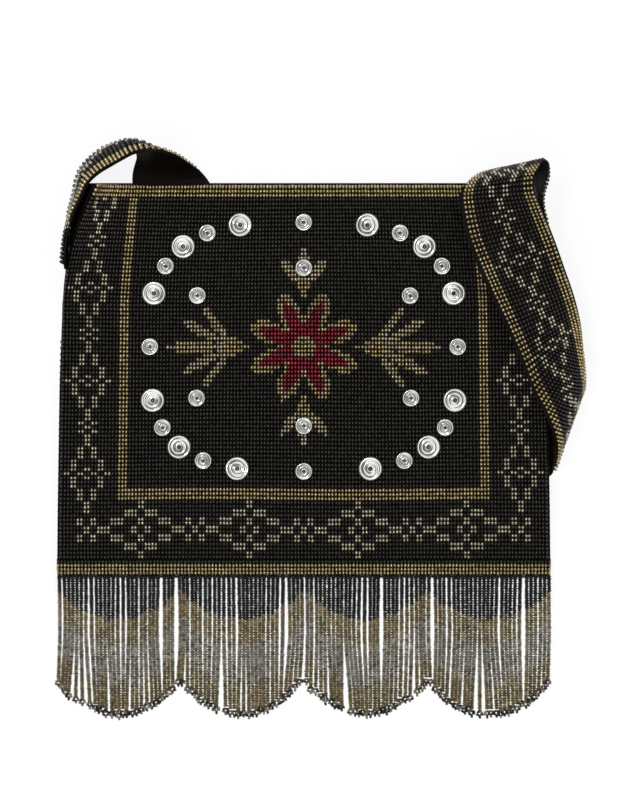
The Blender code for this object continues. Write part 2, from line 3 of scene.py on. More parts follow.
import bpy
import numpy as np
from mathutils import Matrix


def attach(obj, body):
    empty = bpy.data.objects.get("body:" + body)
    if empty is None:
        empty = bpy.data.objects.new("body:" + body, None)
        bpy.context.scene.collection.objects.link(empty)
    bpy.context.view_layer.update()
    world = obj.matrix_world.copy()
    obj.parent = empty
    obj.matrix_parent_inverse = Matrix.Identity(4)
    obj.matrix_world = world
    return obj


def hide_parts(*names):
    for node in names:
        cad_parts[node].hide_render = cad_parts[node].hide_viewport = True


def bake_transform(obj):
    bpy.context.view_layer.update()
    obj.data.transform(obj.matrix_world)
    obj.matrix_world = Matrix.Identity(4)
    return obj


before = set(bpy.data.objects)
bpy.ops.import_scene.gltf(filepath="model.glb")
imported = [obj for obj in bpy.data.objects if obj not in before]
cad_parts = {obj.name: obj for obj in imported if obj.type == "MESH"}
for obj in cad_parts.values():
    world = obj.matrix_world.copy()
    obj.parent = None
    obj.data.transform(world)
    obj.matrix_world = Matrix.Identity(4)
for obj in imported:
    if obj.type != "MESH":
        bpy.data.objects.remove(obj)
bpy.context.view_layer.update()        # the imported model, which stays as it is

mm = 0.001               # places are worked out in millimetres, and meshes are in metres
mapUnit = 100            # millimetres of cloth to one unit of its map
toneSpread = 0.22        # how far the tones of beads scatter about the middle one
wearPatch = 6.0          # millimetres over which the gloss of beads changes
alongX = np.array([[1.0, 0, 0]])
alongZ = np.array([[0, 0, 1.0]])
collection = bpy.context.scene.collection
chance = np.random.default_rng(23)      # every small unevenness comes from this one seeded source


def unit(vectors):
    # The same directions, each of length 1
    return vectors / np.linalg.norm(vectors, axis=-1, keepdims=True)


def ease(share):
    # Level at both ends: three times the square less twice the cube
    share = np.clip(share, 0, 1)
    return share * share * (3 - 2 * share)


def between(first, second, share):
    # From the first at a share of 0 to the second at 1
    return first * (1 - share) + second * share


def stacked(*coordinates):
    # Points or corners from their coordinates, each of them an array or one number
    return np.stack(np.broadcast_arrays(*coordinates), -1)


# Meshes


def turnedShape(profile, sides, isRing=False):
    # A profile of (radius, height) turned about an upright axis. A ring closes on itself; others are capped.
    radii, heights = np.array(profile, float).T
    turns = (np.arange(sides) + 0.5) * 2 * math.pi / sides
    flat = stacked(np.cos(turns), np.sin(turns))
    rings = radii[:, None, None] * flat[None]
    points = np.concatenate([rings, np.broadcast_to(heights[:, None, None], rings.shape[:2] + (1,))], -1)
    here = np.arange(sides)
    after = np.roll(here, -1)
    lower = np.arange(len(radii) if isRing else len(radii) - 1)[:, None] * sides
    upper = (lower + sides) % (len(radii) * sides)
    quads = stacked(lower + here, lower + after, upper + after, upper + here).reshape(-1, 4)
    if not isRing:
        fan = np.array([(0, i, i + 1, i + 2) for i in range(1, sides - 2, 2)])
        quads = np.concatenate([quads, fan[:, ::-1], fan + (len(radii) - 1) * sides])
    return points.reshape(-1, 3), quads


def copies(shape, place, axis, upward, length, radius, kinds=0, tonesAndReflections=None):
    # Each point of a copy is its place, plus the axis by the height, plus two cross directions by the radius
    points, quads = shape
    count = len(place)
    length = np.broadcast_to(length, count)[:, None]
    radius = np.broadcast_to(radius, count)[:, None]
    upward = unit(upward - axis * (upward * axis).sum(-1, keepdims=True))
    frames = np.stack([upward * radius, np.cross(axis, upward) * radius, axis * length], 1)
    placed = place[:, None] + np.einsum("pk,nkd->npd", points, frames)
    moved = quads[None] + (np.arange(count) * len(points))[:, None, None]
    if tonesAndReflections is None:
        tonesAndReflections = np.clip(chance.normal(0.5, toneSpread, count), 0, 1)
    if tonesAndReflections.ndim == 1:
        tonesAndReflections = np.repeat(tonesAndReflections[:, None], len(points), 1)
    return {
        "points": placed.reshape(-1, 3),
        "quads": moved.reshape(-1, 4),
        "kinds": np.repeat(np.broadcast_to(kinds, count), len(quads)),
        "tonesAndReflections": tonesAndReflections.ravel(),
    }


def closedSheet(over, under, cloth, kind=0):
    # Two grids of points, the upper and lower face of a cloth, joined all round their edges
    rows, columns = over.shape[:2]
    index = np.arange(rows * columns).reshape(rows, columns)
    top = stacked(index[:-1, :-1], index[:-1, 1:], index[1:, 1:], index[1:, :-1]).reshape(-1, 4)
    rim = np.concatenate([index[0, :-1], index[:-1, -1], index[-1, :0:-1], index[:0:-1, 0]])
    after = np.roll(rim, -1)
    below = rows * columns
    edge = stacked(rim + below, after + below, after, rim)
    return {
        "points": np.concatenate([over.reshape(-1, 3), under.reshape(-1, 3)]),
        "quads": np.concatenate([top, top[:, ::-1] + below, edge]),
        "kinds": np.full(2 * len(top) + len(edge), kind),
        "cloth": np.tile(cloth.reshape(-1, 2), (2, 1)),
    }


def joined(parts, key, otherwise, shape):
    # One value of each part for each of its faces or points, in the order of the parts
    return np.concatenate([np.broadcast_to(part.get(key, otherwise), shape(part)) for part in parts])


def newPiece(name, parts, finishes, sharpAngle=None):
    # Joins the parts to one mesh, with each face's finish, each bead's tone, the sequins' painted reflection
    # tones, and the cloth's own flat places
    starts = np.cumsum([0] + [len(part["points"]) for part in parts])
    points = np.concatenate([part["points"] for part in parts]) * mm
    quads = np.concatenate([part["quads"] + start for part, start in zip(parts, starts)])
    kinds = joined(parts, "kinds", 0, lambda part: len(part["quads"]))
    tonesAndReflections = joined(parts, "tonesAndReflections", 0.5, lambda part: len(part["points"]))
    cloth = joined(parts, "cloth", 0, lambda part: (len(part["points"]), 2))
    mesh = bpy.data.meshes.new(name)
    mesh.vertices.add(len(points))
    mesh.vertices.foreach_set("co", points.astype(np.float32).ravel())
    mesh.loops.add(quads.size)
    mesh.loops.foreach_set("vertex_index", quads.astype(np.int32).ravel())
    mesh.polygons.add(len(quads))
    mesh.polygons.foreach_set("loop_start", np.arange(0, quads.size, 4, dtype=np.int32))
    mesh.polygons.foreach_set("material_index", kinds.astype(np.int32))
    mesh.update(calc_edges=True)
    mesh.validate()
    beadTones = mesh.attributes.new("beadToneAndPaintedReflection", "FLOAT", "POINT").data
    beadTones.foreach_set("value", tonesAndReflections.astype(np.float32))
    flatPlaces = (cloth / mapUnit)[quads.ravel()]
    mesh.uv_layers.new(name="clothMap").data.foreach_set("uv", flatPlaces.astype(np.float32).ravel())
    mesh.shade_smooth()
    if sharpAngle:
        mesh.set_sharp_from_angle(angle=math.radians(sharpAngle))
    for finish in finishes:
        mesh.materials.append(finish)
    piece = bpy.data.objects.new(name, mesh)
    collection.objects.link(piece)
    return piece


# Finishes


def linearColour(hexColour):
    # The sRGB curve undone: a power of 2.4 above its short straight part
    channels = np.array([int(hexColour[i:i + 2], 16) for i in (1, 3, 5)]) / 255
    curved = ((channels + 0.055) / 1.055) ** 2.4
    return (*np.where(channels <= 0.04045, channels / 12.92, curved).tolist(), 1.0)


def addNode(tree, kind, inputs=None, **settings):
    # One node with its settings, and for each input a value or the socket that feeds it
    made = tree.nodes.new("ShaderNode" + kind)
    for name, value in settings.items():
        setattr(made, name, value)
    for name, value in (inputs or {}).items():
        if isinstance(value, bpy.types.NodeSocket):
            tree.links.new(value, made.inputs[name])
        else:
            made.inputs[name].default_value = value
    return made


def newMaterial(name, **constants):
    # A material whose shader takes each constant on the socket of that name
    made = bpy.data.materials.new(name)
    made.use_nodes = True
    tree = made.node_tree
    shader = tree.nodes["Principled BSDF"]
    for socket, value in constants.items():
        shader.inputs[socket.replace("_", " ")].default_value = value
    return made, tree, shader


def tint(tree, shader, factor, dark, light):
    # The base colour runs from the dark colour to the light one with the factor
    ends = {0: factor, 6: linearColour(dark), 7: linearColour(light)}
    colour = addNode(tree, "Mix", ends, data_type="RGBA")
    tree.links.new(colour.outputs[2], shader.inputs["Base Color"])


def beadMaterial(name, dark, light, smoothest, roughest, **constants):
    # Each bead has its own tone between two colours, which on the sequins is their painted reflection, and a
    # gloss that varies over a few beads
    made, tree, shader = newMaterial(name, **constants)
    tone = addNode(tree, "Attribute", attribute_name="beadToneAndPaintedReflection")
    tint(tree, shader, tone.outputs["Fac"], dark, light)
    place = addNode(tree, "TexCoord").outputs["Object"]
    wear = addNode(tree, "TexNoise", {"Vector": place, "Scale": 1 / (wearPatch * mm), "Detail": 2.0})
    glossRange = {
        "Value": wear.outputs["Fac"],
        "From Min": 0.3,
        "From Max": 0.7,
        "To Min": smoothest,
        "To Max": roughest,
    }
    gloss = addNode(tree, "MapRange", glossRange)
    tree.links.new(gloss.outputs["Result"], shader.inputs["Roughness"])
    return made


def clothMaterial(name, dark, light, threadGap, ribDepth, roughness, **constants):
    # Woven cloth: fine ribs one way and finer threads across them, in the bump, and in the colour as painted
    # shade, darker in their grooves and lighter on their crests
    made, tree, shader = newMaterial(name, Roughness=roughness, **constants)
    place = addNode(tree, "UVMap", uv_map="clothMap").outputs["UV"]
    # A wave texture turns by 20 times its scale over one unit of the map
    bandScale = 2 * math.pi / 20 / (threadGap / mapUnit)
    ribWaves = {"Vector": place, "Scale": bandScale, "Distortion": 0.6, "Detail": 1.0, "Detail Scale": 2.0}
    ribs = addNode(tree, "TexWave", ribWaves, bands_direction="Y").outputs["Fac"]
    threadWaves = {"Vector": place, "Scale": bandScale * 1.6, "Distortion": 0.4}
    threads = addNode(tree, "TexWave", threadWaves, bands_direction="X").outputs["Fac"]
    weave = addNode(tree, "Math", {0: ribs, 1: threads}, operation="ADD").outputs["Value"]
    patches = addNode(tree, "TexNoise", {"Vector": place, "Scale": 9.0, "Detail": 3.0}).outputs["Fac"]
    # Painted shade: the colour follows the weave's height, darker in the grooves, times random mottled
    # patches
    mottleAndGrooveShade = addNode(tree, "Math", {0: patches, 1: weave}, operation="MULTIPLY").outputs["Value"]
    tint(tree, shader, mottleAndGrooveShade, dark, light)
    bump = addNode(tree, "Bump", {"Height": weave, "Strength": 0.5, "Distance": ribDepth * mm})
    tree.links.new(bump.outputs["Normal"], shader.inputs["Normal"])
    return made


# The smoothest and the roughest patch on seed beads, and on the fringe's more polished ones
beadGloss = (0.22, 0.36)
fringeGloss = (0.18, 0.3)
# Metal seen through glass: thick on the bag's own beads, thinner on the fringe's
plated = {"Metallic": 0.8, "Coat_Weight": 1.0}
lined = {"Metallic": 0.6, "Coat_Weight": 1.0, "Coat_Roughness": 0.12}
# Opaque black glass, drawn and tumbled: nearly black, with one small soft light on each bead
jetGlass = beadMaterial("jetGlassTumbled", "#14130f", "#2b2823", *beadGloss, Specular_IOR_Level=0.44)
# Pale glass lined with silver, a little yellowed: a cream spark on a dark bead, among the black ones
strawTones = "#98907a", "#ccc4ac"
strawGlass = beadMaterial("silverLinedStrawGlass", *strawTones, *beadGloss, Coat_Roughness=0.15, **plated)
# Glass plated with gold, worn to an old brown gold under a clear glassy skin
goldPlate = beadMaterial("goldPlatedGlass", "#8a7a4c", "#c8b688", *beadGloss, Coat_Roughness=0.16, **plated)
# A thinner, greener gold lining, on the beads of the fringe
oliveGlass = beadMaterial("goldLinedOliveGlass", "#3b2f08", "#917c3a", *fringeGloss, **lined)
# Clear glass with a tarnished silver lining
greyGlass = beadMaterial("silverLinedGreyGlass", "#312d24", "#a29a86", *fringeGloss, **lined)
# Bronze lustre fired on dark glass
bronzeGlass = beadMaterial("bronzeLustreGlass", "#362a08", "#8b7734", *fringeGloss, **lined)
# Gunmetal lustre, a cold dark shine
gunmetalTones = "#080807", "#151513"
gunmetalGlass = beadMaterial("gunmetalLustreGlass", *gunmetalTones, *fringeGloss, Specular_IOR_Level=0.3)
# Transparent ruby glass over black cloth, which leaves a deep red with a pink spark
thinCoat = {"Coat_Weight": 0.5, "Coat_Roughness": 0.15}
rubyGlass = beadMaterial("rubyGlassTumbled", "#4e0210", "#8a1228", 0.2, 0.32, **thinCoat)
# Pressed clear glass over silver foil: bright, with dark grey rings painted in as reflections of darker
# surroundings
foil = {"Metallic": 0.8, "Coat_Weight": 0.4, "Coat_Roughness": 0.05}
foiledGlass = beadMaterial("foilGlassPaintedReflections", "#161716", "#c4c4c0", 0.1, 0.22, **foil)
# Clear drawn glass, the small bead that holds each sequin, dark where it shows its hole
clearCoat = {"Coat_Weight": 1.0, "Coat_Roughness": 0.05}
clearBead = beadMaterial("clearDrawnGlass", "#1a1a19", "#4c4c49", 0.08, 0.14, **clearCoat)
# Rayon faille: dull and black with fine ribs. Real ribs are 0.5 mm apart, and these 1.1 mm so that they show.
failleTones = "#070707", "#1b1817"
failleBlack = clothMaterial("rayonFailleBlack", *failleTones, 1.1, 0.12, 0.85, Specular_IOR_Level=0.08)
# Acetate satin: a smooth black lining with a soft streaky shine. Threads are drawn at 0.9 mm, too coarse.
satinTones = "#0a0807", "#191512"
satinBlack = clothMaterial("acetateSatinBlack", *satinTones, 0.9, 0.03, 0.6, Specular_IOR_Level=0.05)
# Cotton buckram that carries the beads: flat black plain weave
buckramTones = "#060606", "#131211"
buckramBlack = clothMaterial("cottonBuckramBlack", *buckramTones, 1.0, 0.1, 0.9, Specular_IOR_Level=0.1)
# Nickel plate on turned steel: bright grey, with a gloss that varies a little
nickelPlate = beadMaterial("nickelPlatedSteel", "#8d8c88", "#c4c3bd", 0.18, 0.34, Metallic=1.0)
# Waxed black cotton thread: dull, with a faint shine
blackThread = beadMaterial("waxedCottonThread", "#090909", "#1f1c1a", 0.55, 0.7, Specular_IOR_Level=0.2)
print("finishes made")


# The front panel's surface

bag = {
    "middleX": -8.94,
    "hemY": -69.79,
    "width": 251.0,
    "height": 194.0,
    "sideTaper": 3.0,         # each side leans in by this much from the hem to the mouth
    "panelHalf": 124.2,
    "flatHalf": 89.7,         # past this the two upper corners bend up
    "panelStart": 4.65,
    "liftStart": 135.0,
    "liftLength": 59.0,
    "liftPower": 1.2,
    "angleLeft": 1.5,
    "angleRight": 0.65,
    "gather": 0.05,           # the mouth is this much narrower than the beadwork laid flat
    "liningTop": 4.2,
    "cavityHem": 0.6,
    "cavityMouth": 5.2,
    "cavityHeight": 34.25,
    "ripple": 0.35,
    "rippleFade": 60.0,
    "rippleAcross": 31.0,     # millimetres to one radian of the ripple
    "rippleUp": 27.0,
    "ripplePhases": (0.7, -0.4),
}


def panelPoint(across, height, layer):
    # Flat out to flatHalf, then an arc whose angle grows with the height; the layer is measured square to it.
    # The cavity opens from the hem, and a faint ripple keeps the cloth from looking like a board.
    across, height = np.broadcast_arrays(np.asarray(across, float), np.asarray(height, float))
    lift = np.clip((height - bag["liftStart"]) / bag["liftLength"], 0, 1) ** bag["liftPower"]
    angle = np.maximum(np.where(across > 0, bag["angleRight"], bag["angleLeft"]) * lift, 1e-4)
    flat = np.minimum(abs(across), bag["flatHalf"])
    radius = (bag["panelHalf"] - bag["flatHalf"]) / angle
    turn = (abs(across) - flat) / radius
    x = flat * (1 - bag["gather"] * lift) + (radius - layer) * np.sin(turn)
    x = x * (1 - bag["sideTaper"] / bag["panelHalf"] * height / bag["height"])
    opened = ease((height - bag["panelStart"]) / (bag["cavityHeight"] - bag["panelStart"]))
    z = bag["liningTop"] + bag["cavityHem"] + (bag["cavityMouth"] - bag["cavityHem"]) * opened + layer
    z = z + (radius - layer) * (1 - np.cos(turn))
    acrossPhase, upPhase = bag["ripplePhases"]
    ripple = bag["ripple"] * ease(height / bag["rippleFade"])
    ripple = ripple * np.sin(across / bag["rippleAcross"] + acrossPhase)
    z = z + ripple * np.sin(height / bag["rippleUp"] + upPhase)
    return stacked(bag["middleX"] + np.copysign(x, across), bag["hemY"] + height, z)


def panelFrame(across, height, layer):
    # The place, the direction along the rows and the direction out of the panel
    step = 0.05
    rowWay = unit(panelPoint(across + step, height, layer) - panelPoint(across - step, height, layer))
    columnWay = panelPoint(across, height + step, layer) - panelPoint(across, height - step, layer)
    return panelPoint(across, height, layer), rowWay, unit(np.cross(rowWay, columnWay))


# The beadwork of the front

beadwork = {
    "columns": 144,
    "rows": 89,
    "columnPitch": 1.725,     # 11/0 seed beads, with their holes along the row
    "rowPitch": 2.13,
    "beadLength": 1.36,       # short round beads, so a dark gap stands between the columns
    "beadRadius": 1.06,
    "layer": 2.5,             # from the lining to the beads' middles
    "bandRows": 3,
    "borderColumns": 17,
    "lineWidth": 3,           # columns or rows of the frame line
    "frameRow": 72,
    "motifHeight": 112.0,
    "wave": 0.3,              # the rows rise and fall by this much
    "waveAcross": 23.0,
    "waveDown": 0.05,
    "waveFade": 20.0,
    "unevenPlace": 0.05,
    "unevenSize": 0.035,
    "unevenTurn": 0.07,
}
# A short round bead: radius and height as shares of its own
barrel = turnedShape([(0.5, -0.5), (0.97, -0.22), (0.97, 0.22), (0.5, 0.5)], 6)

chain = {
    "reach": 14,              # columns across a side's chain, and rows across the hem's
    "sideRepeat": 22,
    "sideMargin": 1,          # plain columns outside a side's chain
    "sideMiddle": 2,          # the row of its first diamond's middle
    "sideEnd": 77,
    "hemRepeat": 32,
    "hemMargin": 5,           # plain columns at both ends of the hem's chain
    "hemMirror": 37,          # a column and its mirror image add up to this
}
# The chain down the sides, one row of cells for each distance from a diamond's middle row
sideChain = ["ACEG", "BDF", "BF", "BF", "CE", "CE", "CE", "D", "D", "D", "CE", "D"]
# The chain along the hem, one column pair at a time from a crossing to a diamond's middle, as row pairs
hemChain = ["24", "3", "24", "3", "3", "24", "24", "15", "135", "0246"]
sideChart = np.array([[letter in cells for letter in "ABCDEFG"] for cells in sideChain])
hemChart = np.array([[str(pair) in cells for pair in range(7)] for cells in hemChain])


def onSideChain(column, fromMiddle):
    # The chart repeats along the side, and is the same above and below a diamond's middle
    half = chain["sideRepeat"] // 2
    distance = abs((fromMiddle + half) % chain["sideRepeat"] - half)
    inside = (column >= 0) & (column < chain["reach"])
    return inside & sideChart[distance, np.clip(column // 2, 0, 6)]


def onHemChain(column, row):
    # The chart repeats along the hem, and is mirrored about a diamond's middle
    within = (column - chain["hemMargin"]) % chain["hemRepeat"]
    folded = np.where(within < 2 * len(hemChain), within, chain["hemMirror"] - within)
    inside = (column >= chain["hemMargin"]) & (column < beadwork["columns"] - chain["hemMargin"])
    inside = inside & (row >= 0) & (row < chain["reach"])
    return inside & hemChart[folded // 2, np.clip(row // 2, 0, 6)]


def insideOutline(x, y, outline):
    # A point is inside where a line from it to the right crosses the outline an odd number of times
    startX, startY = outline.T
    endX, endY = np.roll(outline, -1, 0).T
    x, y = x[:, None], y[:, None]
    spans = (startY > y) != (endY > y)
    crossing = startX + (y - startY) / np.where(endY == startY, 1, endY - startY) * (endX - startX)
    return (spans & (x < crossing)).sum(1) % 2 == 1


def lobes(middle, headings, tips, valley, turn, fullness, foot=None):
    # Each lobe's radius falls from its tip to the valley as its angle leaves the heading; a foot closes a fan
    half = 4              # points on each side of a lobe
    steps = np.arange(-half, half)
    share = 1 - abs(steps) / half
    radius = valley + (np.array(tips)[:, None] - valley) * share
    spread = np.copysign(turn / 2 * (1 - share) ** fullness, steps)
    angle = np.array(headings)[:, None] + spread
    ring = stacked(radius * np.cos(angle), radius * np.sin(angle)).reshape(-1, 2)
    if foot:
        heading = np.mean(headings)
        last = headings[-1] + turn / 2
        ends = [(valley * math.cos(last), valley * math.sin(last))]
        ends.append((foot * math.cos(heading + math.pi), foot * math.sin(heading + math.pi)))
        ring = np.concatenate([ring, ends])
    return ring + middle


flower = {"petals": 8, "tip": 30, "valley": 13, "redTip": 24.5, "redValley": 9, "heart": 6, "fullness": 0.6}
flowerMiddle = (0, beadwork["motifHeight"])
petalTurn = 2 * math.pi / flower["petals"]
petalHeadings = (np.arange(flower["petals"]) + 0.5) * petalTurn
edgeTips, redTips = [flower["tip"]] * flower["petals"], [flower["redTip"]] * flower["petals"]
flowerOutline = lobes(flowerMiddle, petalHeadings, edgeTips, flower["valley"], petalTurn, flower["fullness"])
redOutline = lobes(flowerMiddle, petalHeadings, redTips, flower["redValley"], petalTurn, 1.0)

# Palmettes: wide ones at the flower's sides, and narrow ones above and below it
wide = {"offset": 36, "tips": [26, 30, 34, 30, 26], "valley": 7, "foot": 10, "turn": math.radians(27)}
narrow = {"offset": 30, "tips": [19, 21, 19], "valley": 5, "foot": 7, "turn": math.radians(38)}
fans = {
    "right": {"heading": 0, **wide},
    "left": {"heading": math.pi, **wide},
    "upper": {"heading": math.pi / 2, **narrow},
    "lower": {"heading": -math.pi / 2, **narrow},
}
vein = {"half": 1.1, "start": 5, "spread": 2.6}


def fanMiddle(fan):
    # The place from which a palmette's leaves spread, away from the flower's middle along its heading
    away = fan["offset"] * math.cos(fan["heading"]), fan["offset"] * math.sin(fan["heading"])
    return away[0], beadwork["motifHeight"] + away[1]


def fanOutline(fan):
    # One lobe for each tip, evenly spread on both sides of the heading
    tips = fan["tips"]
    headings = fan["heading"] + (np.arange(len(tips)) - (len(tips) - 1) / 2) * fan["turn"]
    return lobes(fanMiddle(fan), headings, tips, fan["valley"], fan["turn"], flower["fullness"], fan["foot"])


columnLine, rowLine = np.arange(beadwork["columns"]), np.arange(beadwork["rows"])
column, row = [grid.ravel() for grid in np.meshgrid(columnLine, rowLine)]
mirrored = np.minimum(column, beadwork["columns"] - 1 - column)
across = (column - (beadwork["columns"] - 1) / 2) * beadwork["columnPitch"]
height = bag["height"] - (row + 0.5) * beadwork["rowPitch"]
rowWave = beadwork["wave"] * np.sin(across / beadwork["waveAcross"] + row * beadwork["waveDown"])
rowWave = rowWave * ease(height / beadwork["waveFade"])
rowWave = rowWave * ease((bag["height"] - height) / beadwork["waveFade"])
place, rowWay, outWay = panelFrame(across, height, beadwork["layer"])
place = place + chance.normal(0, beadwork["unevenPlace"], place.shape)
place[:, 1] += rowWave
holeWay = unit(rowWay + chance.normal(0, beadwork["unevenTurn"], place.shape))
beadLength = beadwork["beadLength"] * chance.normal(1, beadwork["unevenSize"], len(place))
beadRadius = beadwork["beadRadius"] * chance.normal(1, beadwork["unevenSize"], len(place))

# The frame line stands between the field and the border, and the border's lowest rows start at hemRow
lineStart, frameRow = beadwork["borderColumns"], beadwork["frameRow"]
lineEnd, hemRow = lineStart + beadwork["lineWidth"], frameRow + beadwork["lineWidth"]
isBand = row < beadwork["bandRows"]
inLine = (mirrored < lineEnd) | (row >= frameRow)
isFrame = ~isBand & inLine & (mirrored >= lineStart) & (row < hemRow)
isBorder = ~isBand & ~isFrame & ((mirrored < lineStart) | (row >= hemRow))
isField = ~isBand & ~isFrame & ~isBorder
isChain = onSideChain(mirrored - chain["sideMargin"], row - chain["sideMiddle"]) & (row <= chain["sideEnd"])
isChain = isChain | onHemChain(column, row - hemRow)
localX = place[:, 0] - bag["middleX"]
localY = place[:, 1] - bag["hemY"]
inFlower = isField & insideOutline(localX, localY, flowerOutline)
inRed = inFlower & insideOutline(localX, localY, redOutline)
inFans = {name: isField & insideOutline(localX, localY, fanOutline(fan)) for name, fan in fans.items()}
inAnyFan = np.any(list(inFans.values()), 0)


def frontBeads(name, chosen, finishes, nodes, kinds=0):
    # The chosen beads as one piece, which rides on the front
    kinds = np.broadcast_to(kinds, len(place))[chosen]
    sizes = beadLength[chosen], beadRadius[chosen]
    beads = copies(barrel, place[chosen], holeWay[chosen], outWay[chosen], *sizes, kinds)
    piece = newPiece(name, [beads], finishes)
    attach(piece, "bag_front")
    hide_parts(*nodes)


plainField = isField & ~inFlower & ~inAnyFan
onLeft = column < beadwork["columns"] // 2
frontBeads("fieldBeadsLeft", plainField & onLeft, [jetGlass], ["front_bead_field"])
frontBeads("fieldBeadsRight", plainField & ~onLeft, [jetGlass], ["front_bead_field"])
chainKinds = isChain.astype(int)
border = [jetGlass, strawGlass]
onSides, onHem = isBorder & (row < hemRow), isBorder & (row >= hemRow)
frontBeads("borderBeadsSides", onSides, border, ["front_bead_border"], chainKinds)
frontBeads("borderBeadsHem", onHem, border, ["front_bead_border"], chainKinds)
frontBeads("frameLineBeads", isFrame, [goldPlate], ["gold_frame_beads"])
frontBeads("mouthBandBeads", isBand, [goldPlate], ["top_gold_band"])
frontBeads("flowerEdgeBeads", inFlower & ~inRed, [goldPlate], ["flower_gold_edge"])
# A small gold heart lies in the flower's middle
isHeart = (np.hypot(localX, localY - beadwork["motifHeight"]) < flower["heart"]).astype(int)
frontBeads("flowerRedBeads", inRed, [rubyGlass, goldPlate], ["flower_red_petals"], isHeart)
for name, fan in fans.items():
    # Straw-coloured veins run out along each leaf
    middleX, middleY = fanMiddle(fan)
    awayX, awayY = localX - middleX, localY - middleY
    away = np.hypot(awayX, awayY)
    angle = (np.arctan2(awayY, awayX) - fan["heading"] + math.pi) % (2 * math.pi) - math.pi
    halfTurn = fan["turn"] / 2
    fromVein = abs((angle + halfTurn) % fan["turn"] - halfTurn) * away
    isVein = (fromVein < vein["half"]) & (away > vein["start"]) & (abs(angle) < vein["spread"] * fan["turn"])
    finishes, kinds = [goldPlate, strawGlass], isVein.astype(int)
    frontBeads(f"palmetteBeads_{name}", inFans[name], finishes, [f"palmette_{name}"], kinds)
print("front beadwork made:", len(place), "beads")


# The hem roll

hemRoll = {
    # Rows round the roll, as (height above the hem axis, z): one black, three gold, and black below
    "rows": [
        (3.02, 7.04), (1.2, 7.42), (-0.8, 7.3), (-2.6, 6.25), (-3.3, 4.25),
        (-2.7, 2.25), (-1.05, 1.08), (1.05, 1.08), (2.75, 2.2), (3.35, 4.2),
    ],
    "goldRows": (1, 2, 3),
    "beadLength": 1.38,
    "beadRadius": 1.05,
    "coreRadius": 2.7,
    "coreHeight": 4.1,
    "coreOut": 0.2,
    "coreShort": 1.4,
    # Flat strips of the base cloth along the roll, as (low, high, past the panel's sides, z, thickness): one
    # closes the slit between the roll and the panel, and the other holds the fringe
    "strips": [(0.0, 4.45, 1.2, 6.0, 2.4), (-4.2, -2.0, 0.0, 3.65, 0.35)],
}
rollRows = np.array(hemRoll["rows"])
rollMiddle = np.array([0, hemRoll["coreHeight"]])
rollPitch = bag["width"] / beadwork["columns"]
rollColumn = (np.arange(beadwork["columns"]) - (beadwork["columns"] - 1) / 2) * rollPitch
rollX, rollRow = [grid.ravel() for grid in np.meshgrid(rollColumn, np.arange(len(rollRows)))]
rollPlace = stacked(bag["middleX"] + rollX, bag["hemY"] + rollRows[rollRow, 0], rollRows[rollRow, 1])
rollPlace = rollPlace + chance.normal(0, beadwork["unevenPlace"], rollPlace.shape)
rollOut = np.concatenate([np.zeros((len(rollX), 1)), unit(rollRows[rollRow] - rollMiddle)], 1)
rollHole = unit(alongX + chance.normal(0, beadwork["unevenTurn"], rollPlace.shape))
rollKinds = np.where(np.isin(rollRow, hemRoll["goldRows"]), 0, 1)
rollSize = hemRoll["beadLength"], hemRoll["beadRadius"]
rollBeads = copies(barrel, rollPlace, rollHole, rollOut, *rollSize, rollKinds)
corePlace = np.array([[bag["middleX"], bag["hemY"] + hemRoll["coreOut"], hemRoll["coreHeight"]]])
coreSize = bag["width"] - hemRoll["coreShort"], hemRoll["coreRadius"]
core = copies(turnedShape([(1, -0.5), (1, 0.5)], 12), corePlace, alongX, alongZ, *coreSize, 2)


def hemStrip(low, high, past, z, thickness):
    # A flat strip between two heights from the hem axis
    half = bag["panelHalf"] + past
    across, height = np.meshgrid(np.linspace(-half, half, 60), [low, high])
    over = stacked(bag["middleX"] + across, bag["hemY"] + height, z)
    return closedSheet(over, over - [0, 0, thickness], stacked(across, height), 2)


strips = [hemStrip(*strip) for strip in hemRoll["strips"]]
rollFinishes = [goldPlate, jetGlass, buckramBlack]
hemPiece = newPiece("hemRollBeads", [rollBeads, core, *strips], rollFinishes)
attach(hemPiece, "bag_back")
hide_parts("hem_bead_roll")
print("hem roll made")


# Cloth layers of the bag

clothLayers = {
    "acrossSteps": 141,
    "heightSteps": 96,
    # Lower and upper face: above the front lining's underside for the front, and above the table for the back
    "frontBase": (0.7, 1.3),
    "frontLining": (0.0, 0.4),
    "back": (2.95, 3.5),
    "backLining": (3.8, 4.2),
    "backBelow": 0.4,         # the back starts this much below the panel and ends this much above the mouth
    "backAbove": 1.3,
    "pucker": 0.12,
    "puckerFade": 14.0,
    "puckerLength": 2.4,
}
# Where the strap's left end is sewn on, the back's edge reaches out to it: y, and the edge's x
strapTab = np.array([
    (72, -120), (82, -128.5), (96, -128.0), (104, -127.6), (112, -126.5), (119, -124.3), (124, -122.2),
])
acrossLine = np.linspace(-bag["panelHalf"], bag["panelHalf"], clothLayers["acrossSteps"])
heightLine = np.linspace(bag["panelStart"], bag["height"], clothLayers["heightSteps"])
clothAcross, clothHeight = np.meshgrid(acrossLine, heightLine)
clothPlaces = stacked(clothAcross, clothHeight)


def frontSheet(name, low, high, finish, nodes):
    # Both faces follow the panel's surface, each at its own layer
    over = panelPoint(clothAcross, clothHeight, high)
    under = panelPoint(clothAcross, clothHeight, low)
    piece = newPiece(name, [closedSheet(over, under, clothPlaces)], [finish], 50)
    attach(piece, "bag_front")
    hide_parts(*nodes)
    return piece


baseSheet = frontSheet("frontBaseCloth", *clothLayers["frontBase"], buckramBlack, ["front_base_cloth"])
liningSheet = frontSheet("frontLiningSatin", *clothLayers["frontLining"], satinBlack, ["front_lining"])


